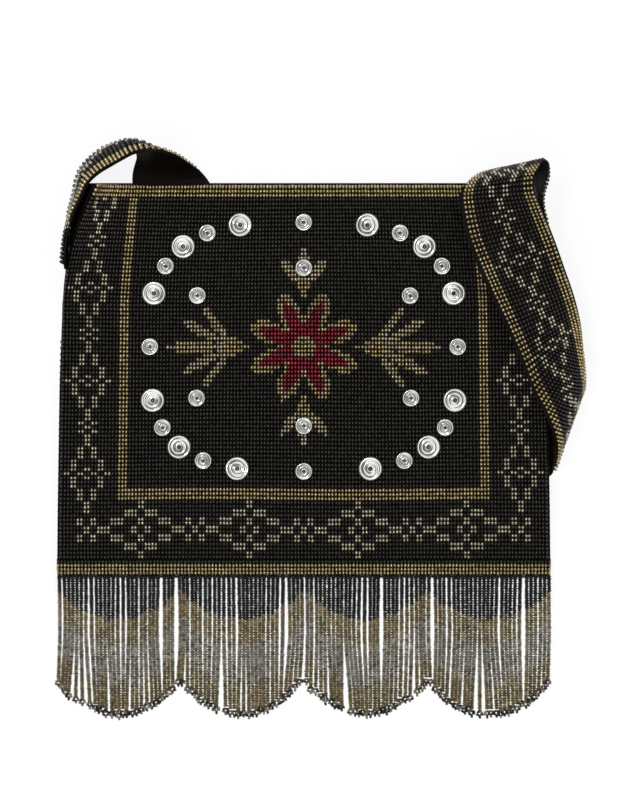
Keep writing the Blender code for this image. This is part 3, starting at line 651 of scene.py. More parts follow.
def backSheet(name, low, high, start, mouth, hasTab, finish, nodes):
    # Straight lines between the two side edges of the panel, level but for faint puckers near the side seams:
    # a sine of the height, which fades with the share of the width from the nearer seam
    rightEdge = panelPoint(bag["panelHalf"], heightLine, 0)[:, 0]
    leftEdge = panelPoint(-bag["panelHalf"], heightLine, 0)[:, 0]
    if hasTab:
        leftEdge = np.minimum(leftEdge, np.interp(bag["hemY"] + heightLine, *strapTab.T, left=0))
    share = np.linspace(0, 1, clothLayers["acrossSteps"])
    x = between(leftEdge[:, None], rightEdge[:, None], share)
    y = np.broadcast_to((bag["hemY"] + heightLine)[:, None], x.shape).copy()
    y[0], y[-1] = bag["hemY"] + start, bag["hemY"] + mouth
    nearSeam = np.exp(-np.minimum(share, 1 - share) * clothLayers["puckerFade"])
    pucker = clothLayers["pucker"] * nearSeam * np.sin(heightLine[:, None] / clothLayers["puckerLength"])
    over = stacked(x, y, high + pucker)
    under = stacked(x, y, low + pucker)
    piece = newPiece(name, [closedSheet(over, under, clothPlaces)], [finish], 50)
    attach(piece, "bag_back")
    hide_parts(*nodes)
    return piece


backEnds = bag["panelStart"] - clothLayers["backBelow"], bag["height"] + clothLayers["backAbove"]
backCloth = backSheet("backFaille", *clothLayers["back"], *backEnds, True, failleBlack, ["back_panel"])
liningEnds = bag["panelStart"], bag["height"]
liningFaces = clothLayers["backLining"]
backLining = backSheet("backLiningSatin", *liningFaces, *liningEnds, False, satinBlack, ["back_lining"])


# Side seams

# A folded strip whipped over with thread, which bends between the back and the front
sideSeam = {
    "thickness": 1.0,
    "gap": 0.1,               # between the panel's edge and the strip
    "bulge": 0.25,
    "endShare": 0.1,          # it thins out to this share at its upper end
    "fade": 45.0,
    "stitchGap": 3.2,
    "stitchStart": 1.5,
    "stitchEnd": 18.0,
    "stitchOut": 0.85,
    "stitchSlant": 1.3,
    "stitchReach": 0.98,      # a stitch's length as a share of the seam's height
    "threadRadius": 0.2,
}
threadShape = turnedShape([(0.5, -0.5), (1, -0.4), (1, 0.4), (0.5, 0.5)], 6)
seamHeights = np.linspace(bag["panelStart"] - clothLayers["backBelow"], bag["liftStart"], 66)
# The strip stands from the back's underside to the front base cloth's upper face
seamLow, seamAbove = clothLayers["back"][0], clothLayers["frontBase"][1]
for side, name in ((-1, "left"), (1, "right")):
    edge = panelPoint(side * bag["panelHalf"], seamHeights, 0)
    share = np.linspace(0, 1, 7)
    z = seamLow + (edge[:, 2] + seamAbove - seamLow)[:, None] * share
    bulge = sideSeam["bulge"] * np.sin(math.pi * share)[None]
    y = edge[:, 1:2]
    inner = edge[:, :1] + side * sideSeam["gap"]
    fade = ease((bag["liftStart"] - seamHeights) / sideSeam["fade"])[:, None]
    thinned = sideSeam["endShare"] + (1 - sideSeam["endShare"]) * fade
    outer = inner + side * ((sideSeam["thickness"] - sideSeam["bulge"]) * thinned + bulge * fade)
    faces = [stacked(outer, y, z), stacked(inner, y, z)]
    flat = stacked(z, y)
    if side > 0:
        faces = [grid[:, ::-1] for grid in faces]
        flat = flat[:, ::-1]
    seam = closedSheet(*faces, flat)
    stitchEnds = seamHeights[0] + sideSeam["stitchStart"], seamHeights[-1] - sideSeam["stitchEnd"]
    stitchY = np.arange(*stitchEnds, sideSeam["stitchGap"])
    stitchX, threadY, stitchTop = panelPoint(side * bag["panelHalf"], stitchY, 0).T
    stitchTop = stitchTop + seamAbove
    threadX = stitchX + side * (sideSeam["gap"] + sideSeam["stitchOut"])
    middle = stacked(threadX, threadY, (stitchTop + seamLow) / 2)
    way = unit(stacked(0, sideSeam["stitchSlant"], stitchTop - seamLow))
    reach = (stitchTop - seamLow) * sideSeam["stitchReach"]
    stitches = copies(threadShape, middle, way, side * alongX, reach, sideSeam["threadRadius"], 1)
    piece = newPiece(f"sideSeam_{name}", [seam, stitches], [failleBlack, blackThread], 60)
    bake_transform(piece)
    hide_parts(f"side_seam_{name}")
print("cloth layers and side seams made")


# Sequins

sequins = {
    "ringHalfWidth": 79.0,
    "ringHalfHeight": 63.0,
    "insetAcross": 19.0,
    "insetAlong": 23.0,
    "power": 3.2,
    "layer": 3.82,            # their undersides, just above the beads
    "lift": 0.03,             # as a share of the radius
    "tilt": 0.06,
    "sides": 32,
    "beadHeight": 1.55,
    "beadLength": 1.35,
    # Radius of the sequin, radius of the bead that holds it, and how strongly its painted dark reflection
    # rings show
    "large": (6.0, 1.15, 1.0),
    "small": (4.4, 0.95, 0.6),
}
# Radius as a share and height in millimetres: a flat back, a rounded rim, two pressed rings, a dished middle
discProfile = [
    (0.12, 0.0), (0.9, 0.0), (0.98, 0.22), (1.0, 0.5), (0.97, 0.8), (0.9, 0.98), (0.83, 1.0),
    (0.77, 0.74), (0.65, 0.7), (0.59, 0.98), (0.53, 1.02), (0.47, 0.78), (0.33, 0.68), (0.27, 0.92),
    (0.2, 0.9), (0.1, 0.72),
]
disc = turnedShape(discProfile, sequins["sides"])
# How bright each ring of the profile is painted, from the back's middle to the front's: the dark rings are
# painted reflections of darker surroundings
paintedReflectionTones = np.array([0.5, 0.5, 0.6, 0.8, 1, 0.95, 0.8, 0.2, 0.1, 0.9, 1, 0.4, 0.0, 0.5, 0.5, 0.0])
stopBead = turnedShape([(0.45, -0.5), (0.85, -0.4), (1.0, 0), (0.85, 0.38), (0.5, 0.5), (0.3, 0.36)], 12)


def ringPlaces(turns, halfWidth, halfHeight):
    # A rounded rectangle: the cosine and sine are raised to 2 over the power and keep their signs
    cosine, sine = np.cos(turns), np.sin(turns)
    power = 2 / sequins["power"]
    x = halfWidth * np.copysign(abs(cosine) ** power, cosine)
    return x, beadwork["motifHeight"] + halfHeight * np.copysign(abs(sine) ** power, sine)


def makeSequins(name, spots, radius, beadRadius, paintedReflectionShare, nodes):
    # Discs on the panel's surface, each a little tilted, with a small bead on each one's middle
    spotAcross, spotHeight = spots
    base, alongWay, outward = panelFrame(spotAcross, spotHeight, sequins["layer"])
    axis = unit(outward + chance.normal(0, sequins["tilt"], outward.shape) * [1, 1, 0])
    base = base + outward * radius * sequins["lift"]
    # The painted reflection's dark rings are uneven round the disc, each disc in its own way: a sine once
    # round and a smaller one three times round lift the tone towards 1
    around = (np.arange(sequins["sides"]) + 0.5) * 2 * math.pi / sequins["sides"]
    phase = chance.uniform(0, 2 * math.pi, (len(base), 1, 1))
    phase = phase + chance.normal(0, 0.5, (len(base), len(paintedReflectionTones), 1))
    uneven = 0.5 + 0.5 * np.sin(around + phase) + 0.25 * np.sin(3 * around + 2 * phase)
    tonesAndReflections = paintedReflectionTones[:, None] + (1 - paintedReflectionTones[:, None]) * np.clip(1.4 * uneven - 0.3, 0, 1) * 0.8
    # Painted reflection: this share sets how far the painted dark rings pull the foil's tone down
    tonesAndReflections = 1 - paintedReflectionShare * (1 - tonesAndReflections)
    discs = copies(disc, base, axis, alongWay, 1.0, radius, 0, tonesAndReflections.reshape(len(base), -1))
    beadPlace = base + axis * sequins["beadHeight"]
    beads = copies(stopBead, beadPlace, axis, alongWay, sequins["beadLength"], beadRadius, 1)
    piece = newPiece(name, [discs, beads], [foiledGlass, clearBead], 50)
    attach(piece, "bag_front")
    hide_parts(*nodes)


outerTurns = np.arange(12) * math.pi / 6
outerSize = sequins["ringHalfWidth"], sequins["ringHalfHeight"]
innerSize = outerSize[0] - sequins["insetAcross"], outerSize[1] - sequins["insetAlong"]
largeSpots = ringPlaces(outerTurns + math.pi / 12, *outerSize)
outerSpots = ringPlaces(outerTurns, *outerSize)
innerSpots = ringPlaces((np.arange(6) + 0.5) * math.pi / 3, *innerSize)
smallSpots = [np.concatenate(pair) for pair in zip(outerSpots, innerSpots)]
makeSequins("largeSequins", largeSpots, *sequins["large"], [f"large_sequin_{k}" for k in range(1, 13)])
makeSequins("smallSequins", smallSpots, *sequins["small"], [f"small_sequin_{k}" for k in range(1, 19)])
print("sequins made")


# Magnetic snap

# Radius and height above the table: a stud with a low boss, a ring-shaped socket, and the magnet inside it
snap = {
    "height": 172.0,          # from the hem
    "sides": 40,
    "snap_stud": [
        (0.5, 4.5), (7.6, 4.5), (8, 4.7), (8, 5.2), (7.6, 5.5),
        (3.6, 5.5), (3.0, 5.75), (3.0, 6.2), (2.6, 6.5), (0.5, 6.5),
    ],
    "snap_socket": [
        (4.9, 7.1), (7.6, 7.1), (8, 7.4), (8, 8.8), (7.6, 9.1), (4.9, 9.1), (4.5, 8.8), (4.5, 7.4),
    ],
    "snap_magnet": [(0.5, 7.4), (3.9, 7.4), (4.2, 7.65), (4.2, 8.8), (3.9, 9.1), (0.5, 9.1)],
}
snapPlace = np.array([[bag["middleX"], bag["hemY"] + snap["height"], 0.0]])
for name, body in (("snap_stud", "bag_back"), ("snap_socket", "bag_front"), ("snap_magnet", "bag_front")):
    shape = turnedShape(snap[name], snap["sides"], name == "snap_socket")
    turned = copies(shape, snapPlace, alongZ, alongX, 1.0, 1.0)
    piece = newPiece(name.replace("snap_", "snapPart_"), [turned], [nickelPlate], 40)
    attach(piece, body)
    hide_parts(name)
print("snap made")


# The strap

strap = {
    "width": 35.0,
    "columns": 20,
    "lineColumns": 3,
    "rowPitch": 2.13,
    "beadLength": 1.4,
    "beadRadius": 1.0,
    "layer": 1.0,             # from the middle surface to the beads' middles
    "unevenPlace": 0.04,
    "tableGap": 0.02,         # the lowest beads stay this much above the table
    "backingHigh": -0.12,
    "backingLow": -0.82,
    "backingRows": 520,
    "reachA": 1.5,            # the backing stands out past the beads along edge A
    "reachB": 0.6,
    "chainStart": 1,
    "bareEnd": 2.5,           # the backing alone, at each end
    "darkStart": 8,           # rows whose edge B is black, at the two ends
    "darkEnd": 33,
    "bulge": 4.5,             # how far the standing turn's middle swells outward
    "bulgeStart": 32.0,
    "bulgeEnd": 92.0,
    "bulgeFade": 20.0,
    "wayStep": 0.6,           # the direction along the strap is measured this far to both sides
    "stitchGap": 3.4,
    "stitchMargin": 3.0,
    "stitchLength": 2.3,
    "stitchRadius": 0.2,
    "stitchPastA": 0.7,
    "stitchInsideB": 1.0,
    "stitchDepth": 0.05,
}
# The strap's middle surface from its left end to its right end: edge A's x, y and z, then edge B's
strapRoute = np.array([
    # Left end, sewn upright on the bag's side
    (-129.6, 81.3, 7.0, -129.6, 81.3, 28.0),
    (-129.6, 84.4, 2.8, -129.6, 84.4, 33.6),
    (-129.4, 88.4, 2.1, -129.4, 88.4, 35.4),
    (-128.9, 95.5, 2.1, -128.5, 96.0, 35.4),
    (-128.6, 103.1, 2.1, -127.1, 102.6, 35.0),
    (-127.6, 111.7, 2.1, -124.4, 110.2, 34.6),
    (-125.6, 119.3, 2.1, -120.9, 117.3, 34.6),
    (-122.0, 127.3, 2.1, -117.7, 123.7, 34.3),
    # Standing turn above the mouth
    (-117.4, 134.6, 2.1, -112.1, 129.1, 34.3),
    (-111.9, 140.3, 2.1, -105.8, 133.0, 34.3),
    (-105.8, 142.7, 2.1, -100.2, 136.2, 34.3),
    (-100.5, 143.8, 2.1, -94.6, 139.1, 34.3),
    (-95.6, 143.8, 2.1, -88.4, 140.7, 34.3),
    # It falls outward and lies flat, beads down
    (-93.4, 141.7, 2.5, -82.7, 140.7, 33.6),
    (-92.6, 138.4, 2.8, -77.1, 139.9, 30.8),
    (-92.9, 136.6, 2.8, -73.9, 138.9, 27.3),
    (-93.4, 134.8, 2.8, -71.1, 137.6, 23.1),
    (-94.2, 132.0, 2.6, -66.5, 134.8, 13.3),
    (-94.6, 129.2, 2.1, -62.4, 132.0, 5.2),
    (-94.6, 126.4, 1.8, -59.4, 128.7, 1.8),
    (-93.1, 120.9, 1.8, -55.8, 122.9, 1.8),
    # Flat run under the bag
    (-78.2, 97.5, 1.8, -49.3, 117.8, 1.8),
    (-50.3, 59.5, 1.8, -22.9, 81.1, 1.8),
    (-33.5, 37.7, 1.8, -6.7, 61.0, 1.8),
    (-13.3, 17.2, 1.8, 11.1, 42.0, 1.8),
    (8.6, -0.8, 1.8, 29.3, 27.6, 1.8),
    (32.1, -14.5, 1.8, 46.8, 16.4, 1.8),
    (55.5, -23.1, 1.8, 63.3, 10.8, 1.8),
    (76.5, -26.7, 1.8, 78.5, 7.8, 1.8),
    # Round the bag's right edge
    (99.3, -26.2, 1.8, 111.5, 12.9, 1.8),
    (116.1, -22.1, 1.8, 127.7, 17.4, 1.8),
    (118.1, -20.4, 3.0, 130.8, 19.5, 3.0),
    (118.3, -17.6, 6.3, 132.3, 21.0, 5.2),
    (118.8, -14.0, 12.2, 132.8, 23.0, 8.8),
    (119.0, -9.5, 16.4, 132.8, 26.6, 12.6),
    (118.1, -2.9, 19.1, 132.5, 32.1, 16.1),
    # Run over the front, beads up
    (114.3, 8.3, 20.6, 132.0, 38.7, 19.2),
    (108.7, 18.4, 22.1, 131.3, 46.3, 21.7),
    (100.5, 38.5, 25.2, 129.5, 57.0, 24.8),
    (93.1, 54.8, 29.0, 126.2, 68.6, 28.7),
    (85.6, 70.4, 33.9, 121.6, 81.1, 32.9),
    (79.5, 83.8, 36.8, 116.1, 96.0, 36.1),
    (74.2, 97.5, 39.2, 112.0, 105.9, 38.2),
    (71.5, 110.2, 40.9, 108.4, 114.3, 38.9),
    (70.7, 117.3, 41.6, 106.2, 120.1, 38.5),
    # Crest, where it turns over
    (71.7, 121.1, 40.9, 105.9, 126.2, 37.5),
    (74.2, 124.4, 37.5, 108.2, 130.8, 35.7),
    (79.0, 127.8, 29.8, 111.2, 134.8, 34.3),
    (85.6, 130.1, 15.8, 112.8, 134.8, 33.8),
    (93.7, 132.0, 4.9, 113.5, 133.0, 33.9),
    (100.8, 131.8, 2.5, 113.5, 130.0, 34.3),
    # Right end, sewn upright on the bag's side
    (106.4, 128.0, 2.1, 112.8, 125.7, 35.0),
    (109.2, 121.4, 2.1, 111.0, 120.4, 35.0),
    (110.4, 113.8, 2.1, 110.4, 113.8, 35.0),
    (112.2, 104.6, 2.1, 112.2, 104.6, 35.0),
    (113.8, 95.5, 2.1, 113.8, 95.5, 33.9),
    (114.5, 88.4, 2.1, 114.5, 88.4, 32.6),
    (114.8, 84.4, 2.8, 114.8, 84.4, 31.5),
    (114.8, 81.3, 7.0, 114.8, 81.3, 26.6),
])


def smoothRoute(stations, distances):
    # Between two stations each edge is a cubic whose slopes are the weighted mean of the stretches beside it
    middles = (stations[:, :3] + stations[:, 3:]) / 2
    gaps = np.linalg.norm(np.diff(middles, axis=0), axis=1)
    starts = np.concatenate([[0], np.cumsum(gaps)])
    slopes = np.diff(stations, axis=0) / gaps[:, None]
    weights = stacked(gaps[1:], gaps[:-1]) / (gaps[1:] + gaps[:-1])[:, None]
    inner = slopes[:-1] * weights[:, :1] + slopes[1:] * weights[:, 1:]
    slopes = np.concatenate([slopes[:1], inner, slopes[-1:]])
    which = np.clip(np.searchsorted(starts, distances, "right") - 1, 0, len(gaps) - 1)
    gap = gaps[which][:, None]
    share = (distances - starts[which])[:, None] / gap
    square, cube = share**2, share**3
    place = stations[which] * (2 * cube - 3 * square + 1) + stations[which + 1] * (3 * square - 2 * cube)
    return place + gap * (slopes[which] * (cube - 2 * square + share) + slopes[which + 1] * (cube - square))


def routeLength(line):
    # The length of the middle between edge A and edge B, stretch by stretch, from the start to each point
    middles = (line[:, :3] + line[:, 3:]) / 2
    return np.concatenate([[0], np.cumsum(np.linalg.norm(np.diff(middles, axis=0), axis=1))])


def strapGrid(distances, cuts, layer):
    # Across the width in straight lines, raised by the layer along a normal that turns from edge to edge
    edges = smoothRoute(strapRoute, distances)
    ahead = smoothRoute(strapRoute, np.minimum(distances + strap["wayStep"], strapLength))
    behind = smoothRoute(strapRoute, np.maximum(distances - strap["wayStep"], 0))
    way = (ahead - behind).reshape(-1, 2, 3)
    edgeA, edgeB = edges[:, :3], edges[:, 3:]
    across = unit(edgeB - edgeA)
    normals = unit(np.cross(across[:, None], way))
    share = (np.asarray(cuts) / strap["width"])[None, :, None]
    middle = between(edgeA[:, None], edgeB[:, None], share)
    held = np.clip(share, 0, 1)
    normal = unit(between(normals[:, :1], normals[:, 1:], held))
    # The standing turn swells: 4 bulge s (1 - s) along the normal, where s is the share of the width
    risen = ease((distances - strap["bulgeStart"]) / strap["bulgeFade"])
    fallen = ease((strap["bulgeEnd"] - distances) / strap["bulgeFade"])
    swell = (strap["bulge"] * risen * fallen)[:, None, None]
    middle = middle + normal * 4 * swell * held * (1 - held)
    normal = unit(normal - across[:, None] * 4 * swell * (1 - 2 * held) / strap["width"])
    return middle + normal * layer, np.broadcast_to(across[:, None], normal.shape), normal


# Two passes: the smoothed line is measured first, so that the rows are evenly spaced along it
strapLength = routeLength(strapRoute)[-1]
fine = np.linspace(0, strapLength, 3000)
walked = routeLength(smoothRoute(strapRoute, fine))
beadedLength = walked[-1] - 2 * strap["bareEnd"]
rowCount = int(beadedLength / strap["rowPitch"])
rowMiddles = (np.arange(rowCount) + 0.5) * beadedLength / rowCount
rowPlaces = np.interp(strap["bareEnd"] + rowMiddles, walked, fine)
strapColumns = np.arange(strap["columns"])
cuts = (strapColumns + 0.5) * strap["width"] / strap["columns"]
grid, holes, normals = strapGrid(rowPlaces, cuts, strap["layer"])
strapIndex = np.meshgrid(np.arange(rowCount), strapColumns, indexing="ij")
strapRow, strapColumn = [part.ravel() for part in strapIndex]
strapPlace = grid.reshape(-1, 3) + chance.normal(0, strap["unevenPlace"], (grid.size // 3, 3))
strapHole = unit(holes.reshape(-1, 3) + chance.normal(0, beadwork["unevenTurn"], (grid.size // 3, 3)))
strapOut = normals.reshape(-1, 3)
strapPlace[:, 2] = np.maximum(strapPlace[:, 2], strap["beadRadius"] + strap["tableGap"])


def strapBeads(name, chosen, finishes, node, kinds=0):
    # The chosen beads as one piece, which rides on the back
    kinds = np.broadcast_to(kinds, len(strapPlace))[chosen]
    count = len(kinds)
    lengths = strap["beadLength"] * chance.normal(1, beadwork["unevenSize"], count)
    radii = strap["beadRadius"] * chance.normal(1, beadwork["unevenSize"], count)
    beads = copies(barrel, strapPlace[chosen], strapHole[chosen], strapOut[chosen], lengths, radii, kinds)
    piece = newPiece(name, [beads], finishes)
    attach(piece, "bag_back")
    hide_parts(node)
    return piece


strapChain = onSideChain(strapColumn - strap["lineColumns"], strapRow + strap["chainStart"]).astype(int)
onLineA = strapColumn < strap["lineColumns"]
onLineB = strapColumn >= strap["columns"] - strap["lineColumns"]
firstHalf = strapRow < rowCount // 2
onFieldStart, onFieldEnd = ~onLineA & ~onLineB & firstHalf, ~onLineA & ~onLineB & ~firstHalf
atEnds = ((strapRow < strap["darkStart"]) | (strapRow >= rowCount - strap["darkEnd"])).astype(int)
strapPieces = [
    strapBeads("strapBeadsStart", onFieldStart, border, "strap_bead_field", strapChain),
    strapBeads("strapBeadsEnd", onFieldEnd, border, "strap_bead_field", strapChain),
    strapBeads("strapLineBeadsA", onLineA, [goldPlate], "strap_gold_line_a"),
    strapBeads("strapLineBeadsB", onLineB, [goldPlate, jetGlass], "strap_gold_line_b", atEnds),
]

# The backing: one long band of cloth, with a line of stitches near each edge
bandWalk = np.linspace(0, walked[-1], strap["backingRows"])
bandRows = np.interp(bandWalk, walked, fine)
bandCuts = np.linspace(-strap["reachA"], strap["width"] + strap["reachB"], 17)
over = strapGrid(bandRows, bandCuts, strap["backingHigh"])[0]
under = strapGrid(bandRows, bandCuts, strap["backingLow"])[0]
band = closedSheet(over, under, stacked(*np.meshgrid(bandCuts, bandWalk)))
stitchWalk = np.arange(strap["stitchMargin"], walked[-1] - strap["stitchMargin"], strap["stitchGap"])
stitchRows = np.interp(stitchWalk, walked, fine)
stitchLines = np.array([-strap["stitchPastA"], strap["width"] - strap["stitchInsideB"]])
stitchLayer = strap["backingLow"] + strap["stitchDepth"]
stitchPlace, stitchAcross, stitchOut = strapGrid(stitchRows, stitchLines, stitchLayer)
stitchOut = stitchOut.reshape(-1, 3)
stitchWay = unit(np.cross(stitchOut, stitchAcross.reshape(-1, 3)))
stitchSize = strap["stitchLength"], strap["stitchRadius"]
stitches = copies(threadShape, stitchPlace.reshape(-1, 3), stitchWay, stitchOut, *stitchSize, 1)
backing = newPiece("strapBackingSatin", [band, stitches], [satinBlack, blackThread], 50)
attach(backing, "bag_back")
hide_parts("strap_backing")
print("strap made:", rowCount, "rows")


# The fringe

fringe = {
    "scallops": 4,
    "strands": 27,            # in each scallop
    "start": 3.93,            # out from the hem axis
    "leaveHeight": 2.5,
    "apart": 1.36,            # every other strand lies this much higher, so that neighbours can crowd
    "droopStart": 2.0,
    "droopRun": 14.0,
    "cusp": 54.0,
    "middle": 73.0,
    "power": 0.7,
    "unevenLength": 0.5,
    "midUneven": 1.05,        # how uneven the gaps between the strands are half way out, and at their ends
    "endUneven": 1.25,
    "hemShare": 0.6,          # the share of the uneven gaps that already shows at the hem
    "midRun": 30.0,
    "endStart": 25.0,
    "endRun": 45.0,
    "driftWindow": 19,        # strands over which the slow part of the drift is taken
    "beadPitch": 1.24,        # 11/0 seed beads strung tight, with their holes along the strand
    "beadLength": 1.22,
    "beadRadius": 1.14,
    "unevenPlace": (0.05, 0.025, 0.015),
    "unevenRadius": 0.06,
    "leastGap": 1.79,         # neighbours lie this far apart where they bunch
    "picotLength": 4.0,
    "picotBead": (1.2, 0.95),
    "picotGrey": 0.45,        # the share of grey beads in the picots
    # A narrow black tape under the first beads of each scallop holds the strands
    "tapeStart": 4.3,
    "tapeWidth": 1.0,
    "tapeThickness": 0.35,
    "tapeInset": 0.15,
    # Lengths of the colour bands: gunmetal at a cusp and more in the middle, then olive, grey and bronze
    "darkAtCusp": 6.0,
    "darkMore": 16.4,
    "olive": 12.7,
    "grey": 20.0,
    "unevenBands": (0.6, 1.2, 1.6),
}
strandCount = fringe["scallops"] * fringe["strands"]
strandPitch = bag["width"] / strandCount


def strandSpread(unevenness):
    # Uneven gaps between neighbours, none under the least gap, that add up to the fringe's whole width
    extra = chance.exponential(1, strandCount - 1) ** unevenness
    wanted = (strandCount - 1) * (strandPitch - fringe["leastGap"])
    gaps = fringe["leastGap"] + extra / extra.sum() * wanted
    return np.concatenate([[0], np.cumsum(gaps)]) - gaps.sum() / 2


def withoutDrift(places):
    # Taking off the slow part of the drift keeps each strand near its own place in its scallop
    reach = fringe["driftWindow"] // 2
    window = np.ones(fringe["driftWindow"]) / fringe["driftWindow"]
    return places - np.convolve(np.pad(places - evenX, reach, "edge"), window, "valid")


strand = np.arange(strandCount)
evenX = (strand + 0.5) * strandPitch - bag["width"] / 2
midX = withoutDrift(strandSpread(fringe["midUneven"]))
endX = withoutDrift(strandSpread(fringe["endUneven"]))
inScallop = (strand % fringe["strands"] + 0.5) / fringe["strands"]
scallopShare = np.sin(math.pi * inScallop) ** fringe["power"]
strandLength = fringe["cusp"] + (fringe["middle"] - fringe["cusp"]) * scallopShare
strandLength = strandLength + chance.normal(0, fringe["unevenLength"], strandCount)


def strandPlace(index, out):
    # Sideways: from the even spacing at the hem to one uneven spread half way and another at the end.
    # Height: level out of the hem, then down to the table along a parabola, and flat from there, with every
    # other strand a little higher, so that neighbours can crowd together without meeting.
    toMid = fringe["hemShare"] + (1 - fringe["hemShare"]) * ease(out / fringe["midRun"])
    toEnd = ease((out - fringe["endStart"]) / fringe["endRun"])
    x = between(between(evenX[index], midX[index], toMid), endX[index], toEnd)
    droop = np.clip((out - fringe["droopStart"]) / fringe["droopRun"], 0, 1)
    parting = fringe["apart"] * (index % 2)
    z = fringe["leaveHeight"] * (1 - droop) ** 2 + fringe["beadRadius"] + parting
    return stacked(bag["middleX"] + x, bag["hemY"] - fringe["start"] - out, z)


def bandEnd(start, length, uneven):
    # Where a colour band ends on each strand
    return start + length + chance.normal(0, uneven, strandCount)[:, None]


most = int(fringe["middle"] / fringe["beadPitch"]) + 2
bandBead = np.broadcast_to(np.arange(most), (strandCount, most))
out = (bandBead + 0.5) * fringe["beadPitch"]
isThere = out < (strandLength - fringe["picotLength"])[:, None]
darkUneven, oliveUneven, greyUneven = fringe["unevenBands"]
dark = bandEnd(fringe["darkAtCusp"], (fringe["darkMore"] * scallopShare)[:, None], darkUneven)
olive = bandEnd(dark, fringe["olive"], oliveUneven)
grey = bandEnd(olive, fringe["grey"], greyUneven)
colourBand = (out > dark).astype(int) + (out > olive) + (out > grey)
index = np.broadcast_to(strand[:, None], out.shape)
strandAt = strandPlace(index, out)
strandWay = unit(strandPlace(index, out + 0.5) - strandPlace(index, out - 0.5))

# The fringe's beads are round, strung hole to hole, so each one shows its own spark between two dark dips
roundBead = turnedShape([(0.6, -0.5), (0.93, -0.32), (1.0, -0.1), (1.0, 0.1), (0.93, 0.32), (0.6, 0.5)], 6)
# Five gunmetal and grey beads in a small loop end each strand
tip = strandPlace(strand, strandLength - fringe["picotLength"])
picotAround = np.array([
    [-0.8, -0.75, 0.2], [0.8, -0.75, -0.2], [-1.0, -1.95, 0.2], [1.0, -1.95, -0.2], [0, -3.0, 0],
])
picotAt = tip[:, None] + picotAround * chance.normal(1, 0.08, (strandCount, 5, 1))
picotAxis = np.array([[-0.4, 1, 0], [0.4, 1, 0], [0.1, 1, 0], [-0.1, 1, 0], [1, 0.1, 0]])
picotWay = unit(picotAxis + chance.normal(0, 0.25, (strandCount, 5, 3)) * [1, 1, 0.3])
fringeFinishes = [gunmetalGlass, oliveGlass, greyGlass, bronzeGlass, buckramBlack]
scallopWidth = bag["width"] / fringe["scallops"]
tapeAcross = np.array([fringe["tapeInset"], scallopWidth - fringe["tapeInset"]])
tapeOut = bag["hemY"] - fringe["tapeStart"] - np.array([fringe["tapeWidth"], 0])
tapeZ = fringe["leaveHeight"] + fringe["tapeThickness"]
for scallop in range(fringe["scallops"]):
    own = strand // fringe["strands"] == scallop
    chosen = isThere & own[:, None]
    count = int(chosen.sum())
    places = strandAt[chosen] + chance.normal(0, fringe["unevenPlace"], (count, 3))
    ways = unit(strandWay[chosen] + chance.normal(0, beadwork["unevenTurn"], (count, 3)))
    radii = fringe["beadRadius"] * chance.normal(1, fringe["unevenRadius"], count)
    beads = copies(roundBead, places, ways, alongZ, fringe["beadLength"], radii, colourBand[chosen])
    loops, loopWays = picotAt[own].reshape(-1, 3), picotWay[own].reshape(-1, 3)
    loopKinds = 2 * (chance.random(len(loops)) < fringe["picotGrey"])
    picots = copies(roundBead, loops, loopWays, alongZ, *fringe["picotBead"], loopKinds)
    ends = bag["middleX"] - bag["width"] / 2 + scallopWidth * scallop + tapeAcross
    tapeX, tapeY = np.meshgrid(np.linspace(*ends, 20), tapeOut)
    tapeOver = stacked(tapeX, tapeY, tapeZ)
    tape = closedSheet(tapeOver, tapeOver - [0, 0, fringe["tapeThickness"]], stacked(tapeX, tapeY), 4)
    piece = newPiece(f"fringeBeads_{scallop + 1}", [beads, picots, tape], fringeFinishes)
    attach(piece, f"scallop_{scallop + 1}")
    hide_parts(f"fringe_{scallop + 1}")
print("fringe made")


# Floor, light and camera

studio = {
    "cameraHeight": 2.5,
    "cameraX": -0.0007,
    "cameraY": 0.0153,
    "sensorWidth": 36,
    "viewWidth": 0.3256,      # what the picture's 640 pixels span on the table
    "boxLight": 1.95,         # a long soft box overhead, drawn in the world: this bright
    "boxAcross": 0.48,        # and this far out, as shares of the sky's dome seen from above
    "boxAlong": 0.74,
    "boxTurn": 0.35,
    "boxFade": (1.15, 0.85),  # its edge is soft between these shares of its size
    "roomLight": 0.13,
    "lampPower": 4.2,
    "lampSize": 0.2,
    "lampPlace": (-0.3, 0.45, 1.3),
    "floorHalf": 3,
    "floorZ": -0.0004,
    "floorShade": 0.13,
    "floorGlow": 0.88,
}
white = (1, 1, 1, 1)


def seenDirectly(tree):
    # 1 for camera, glossy and transmission rays, and 0 for the rest
    rays = addNode(tree, "LightPath").outputs
    shinyRays = {0: rays["Is Glossy Ray"], 1: rays["Is Transmission Ray"]}
    shiny = addNode(tree, "Math", shinyRays, operation="MAXIMUM").outputs["Value"]
    both = {0: rays["Is Camera Ray"], 1: shiny}
    return addNode(tree, "Math", both, operation="MAXIMUM").outputs["Value"]


floorMesh = bpy.data.meshes.new("paleFloor")
low, high = -studio["floorHalf"], studio["floorHalf"]
corners = [(x, y, studio["floorZ"]) for x, y in ((low, low), (high, low), (high, high), (low, high))]
floorMesh.from_pydata(corners, [], [(0, 1, 2, 3)])
floor = bpy.data.objects.new("paleFloor", floorMesh)
collection.objects.link(floor)
floorPaint = bpy.data.materials.new("matWhiteTable")
floorPaint.use_nodes = True
tree = floorPaint.node_tree
tree.nodes.clear()
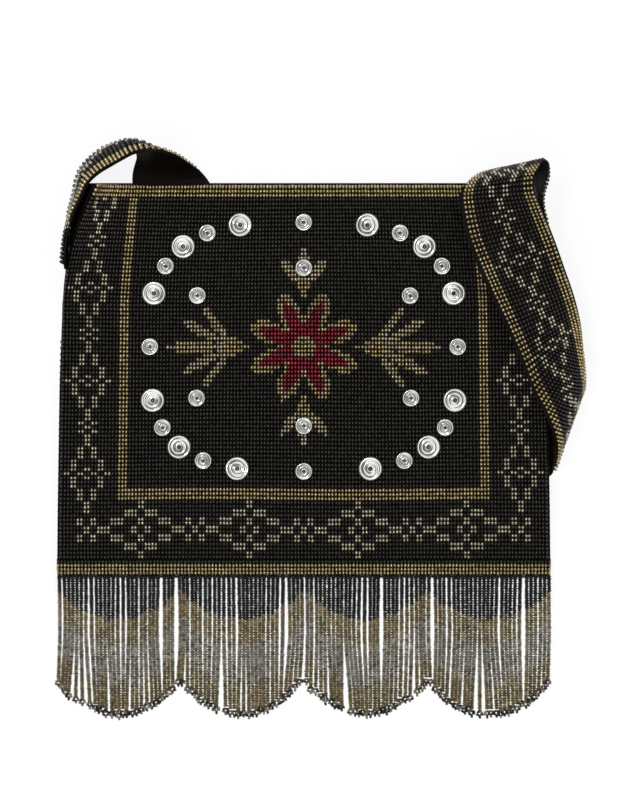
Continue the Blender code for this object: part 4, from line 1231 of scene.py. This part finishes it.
# Seen directly it is mostly its own white, with a share that the object's shadow dims
plain = addNode(tree, "BsdfDiffuse", {"Color": linearColour("#e4e4e4")})
shaded = addNode(tree, "BsdfDiffuse", {"Color": (*[studio["floorShade"]] * 3, 1)})
glow = addNode(tree, "Emission", {"Color": white, "Strength": studio["floorGlow"]})
seen = addNode(tree, "AddShader", {0: shaded.outputs[0], 1: glow.outputs[0]})
mixed = addNode(tree, "MixShader", {0: seenDirectly(tree), 1: plain.outputs[0], 2: seen.outputs[0]})
addNode(tree, "OutputMaterial", {"Surface": mixed.outputs[0]})
floorMesh.materials.append(floorPaint)

world = bpy.data.worlds.new("studioWorld")
bpy.context.scene.world = world
world.use_nodes = True
tree = world.node_tree
tree.nodes.clear()
# A direction (x, y, z) of length 1, turned with the box, is inside it where (x / boxAcross)^2 +
# (y / boxAlong)^2 is under 1
direction = addNode(tree, "TexCoord").outputs["Generated"]
turning = {"Vector": direction, "Angle": studio["boxTurn"]}
turned = addNode(tree, "VectorRotate", turning, rotation_type="Z_AXIS").outputs["Vector"]
stretch = (1 / studio["boxAcross"], 1 / studio["boxAlong"], 0)
onBox = addNode(tree, "VectorMath", {0: turned, 1: stretch}, operation="MULTIPLY").outputs["Vector"]
fromMiddle = addNode(tree, "VectorMath", {0: onBox}, operation="LENGTH").outputs["Value"]
outer, inner = studio["boxFade"]
boxEdge = {"Value": fromMiddle, 1: outer, 2: inner, 3: studio["roomLight"], 4: studio["boxLight"]}
glow = addNode(tree, "MapRange", boxEdge, interpolation_type="SMOOTHSTEP").outputs["Result"]
around = addNode(tree, "Background", {"Color": white, "Strength": glow})
addNode(tree, "OutputWorld", {"Surface": around.outputs[0]})

lampData = bpy.data.lights.new("softBox", "AREA")
lampData.energy = studio["lampPower"]
lampData.size = studio["lampSize"]
lamp = bpy.data.objects.new("softBox", lampData)
lamp.location = studio["lampPlace"]
# It is aimed at the bag's middle
toX, toY, toZ = -np.array(studio["lampPlace"])
lamp.rotation_euler = (math.atan2(math.hypot(toX, toY), -toZ), 0, math.atan2(toY, toX) - math.pi / 2)
collection.objects.link(lamp)

cameraData = bpy.data.cameras.new("overTable")
cameraData.sensor_fit = "HORIZONTAL"
cameraData.sensor_width = studio["sensorWidth"]
cameraData.lens = studio["sensorWidth"] * studio["cameraHeight"] / studio["viewWidth"]
camera = bpy.data.objects.new("overTable", cameraData)
camera.location = (studio["cameraX"], studio["cameraY"], studio["cameraHeight"])
collection.objects.link(camera)
bpy.context.scene.camera = camera
bpy.context.scene.view_settings.view_transform = "Standard"
print("floor, light and camera made")
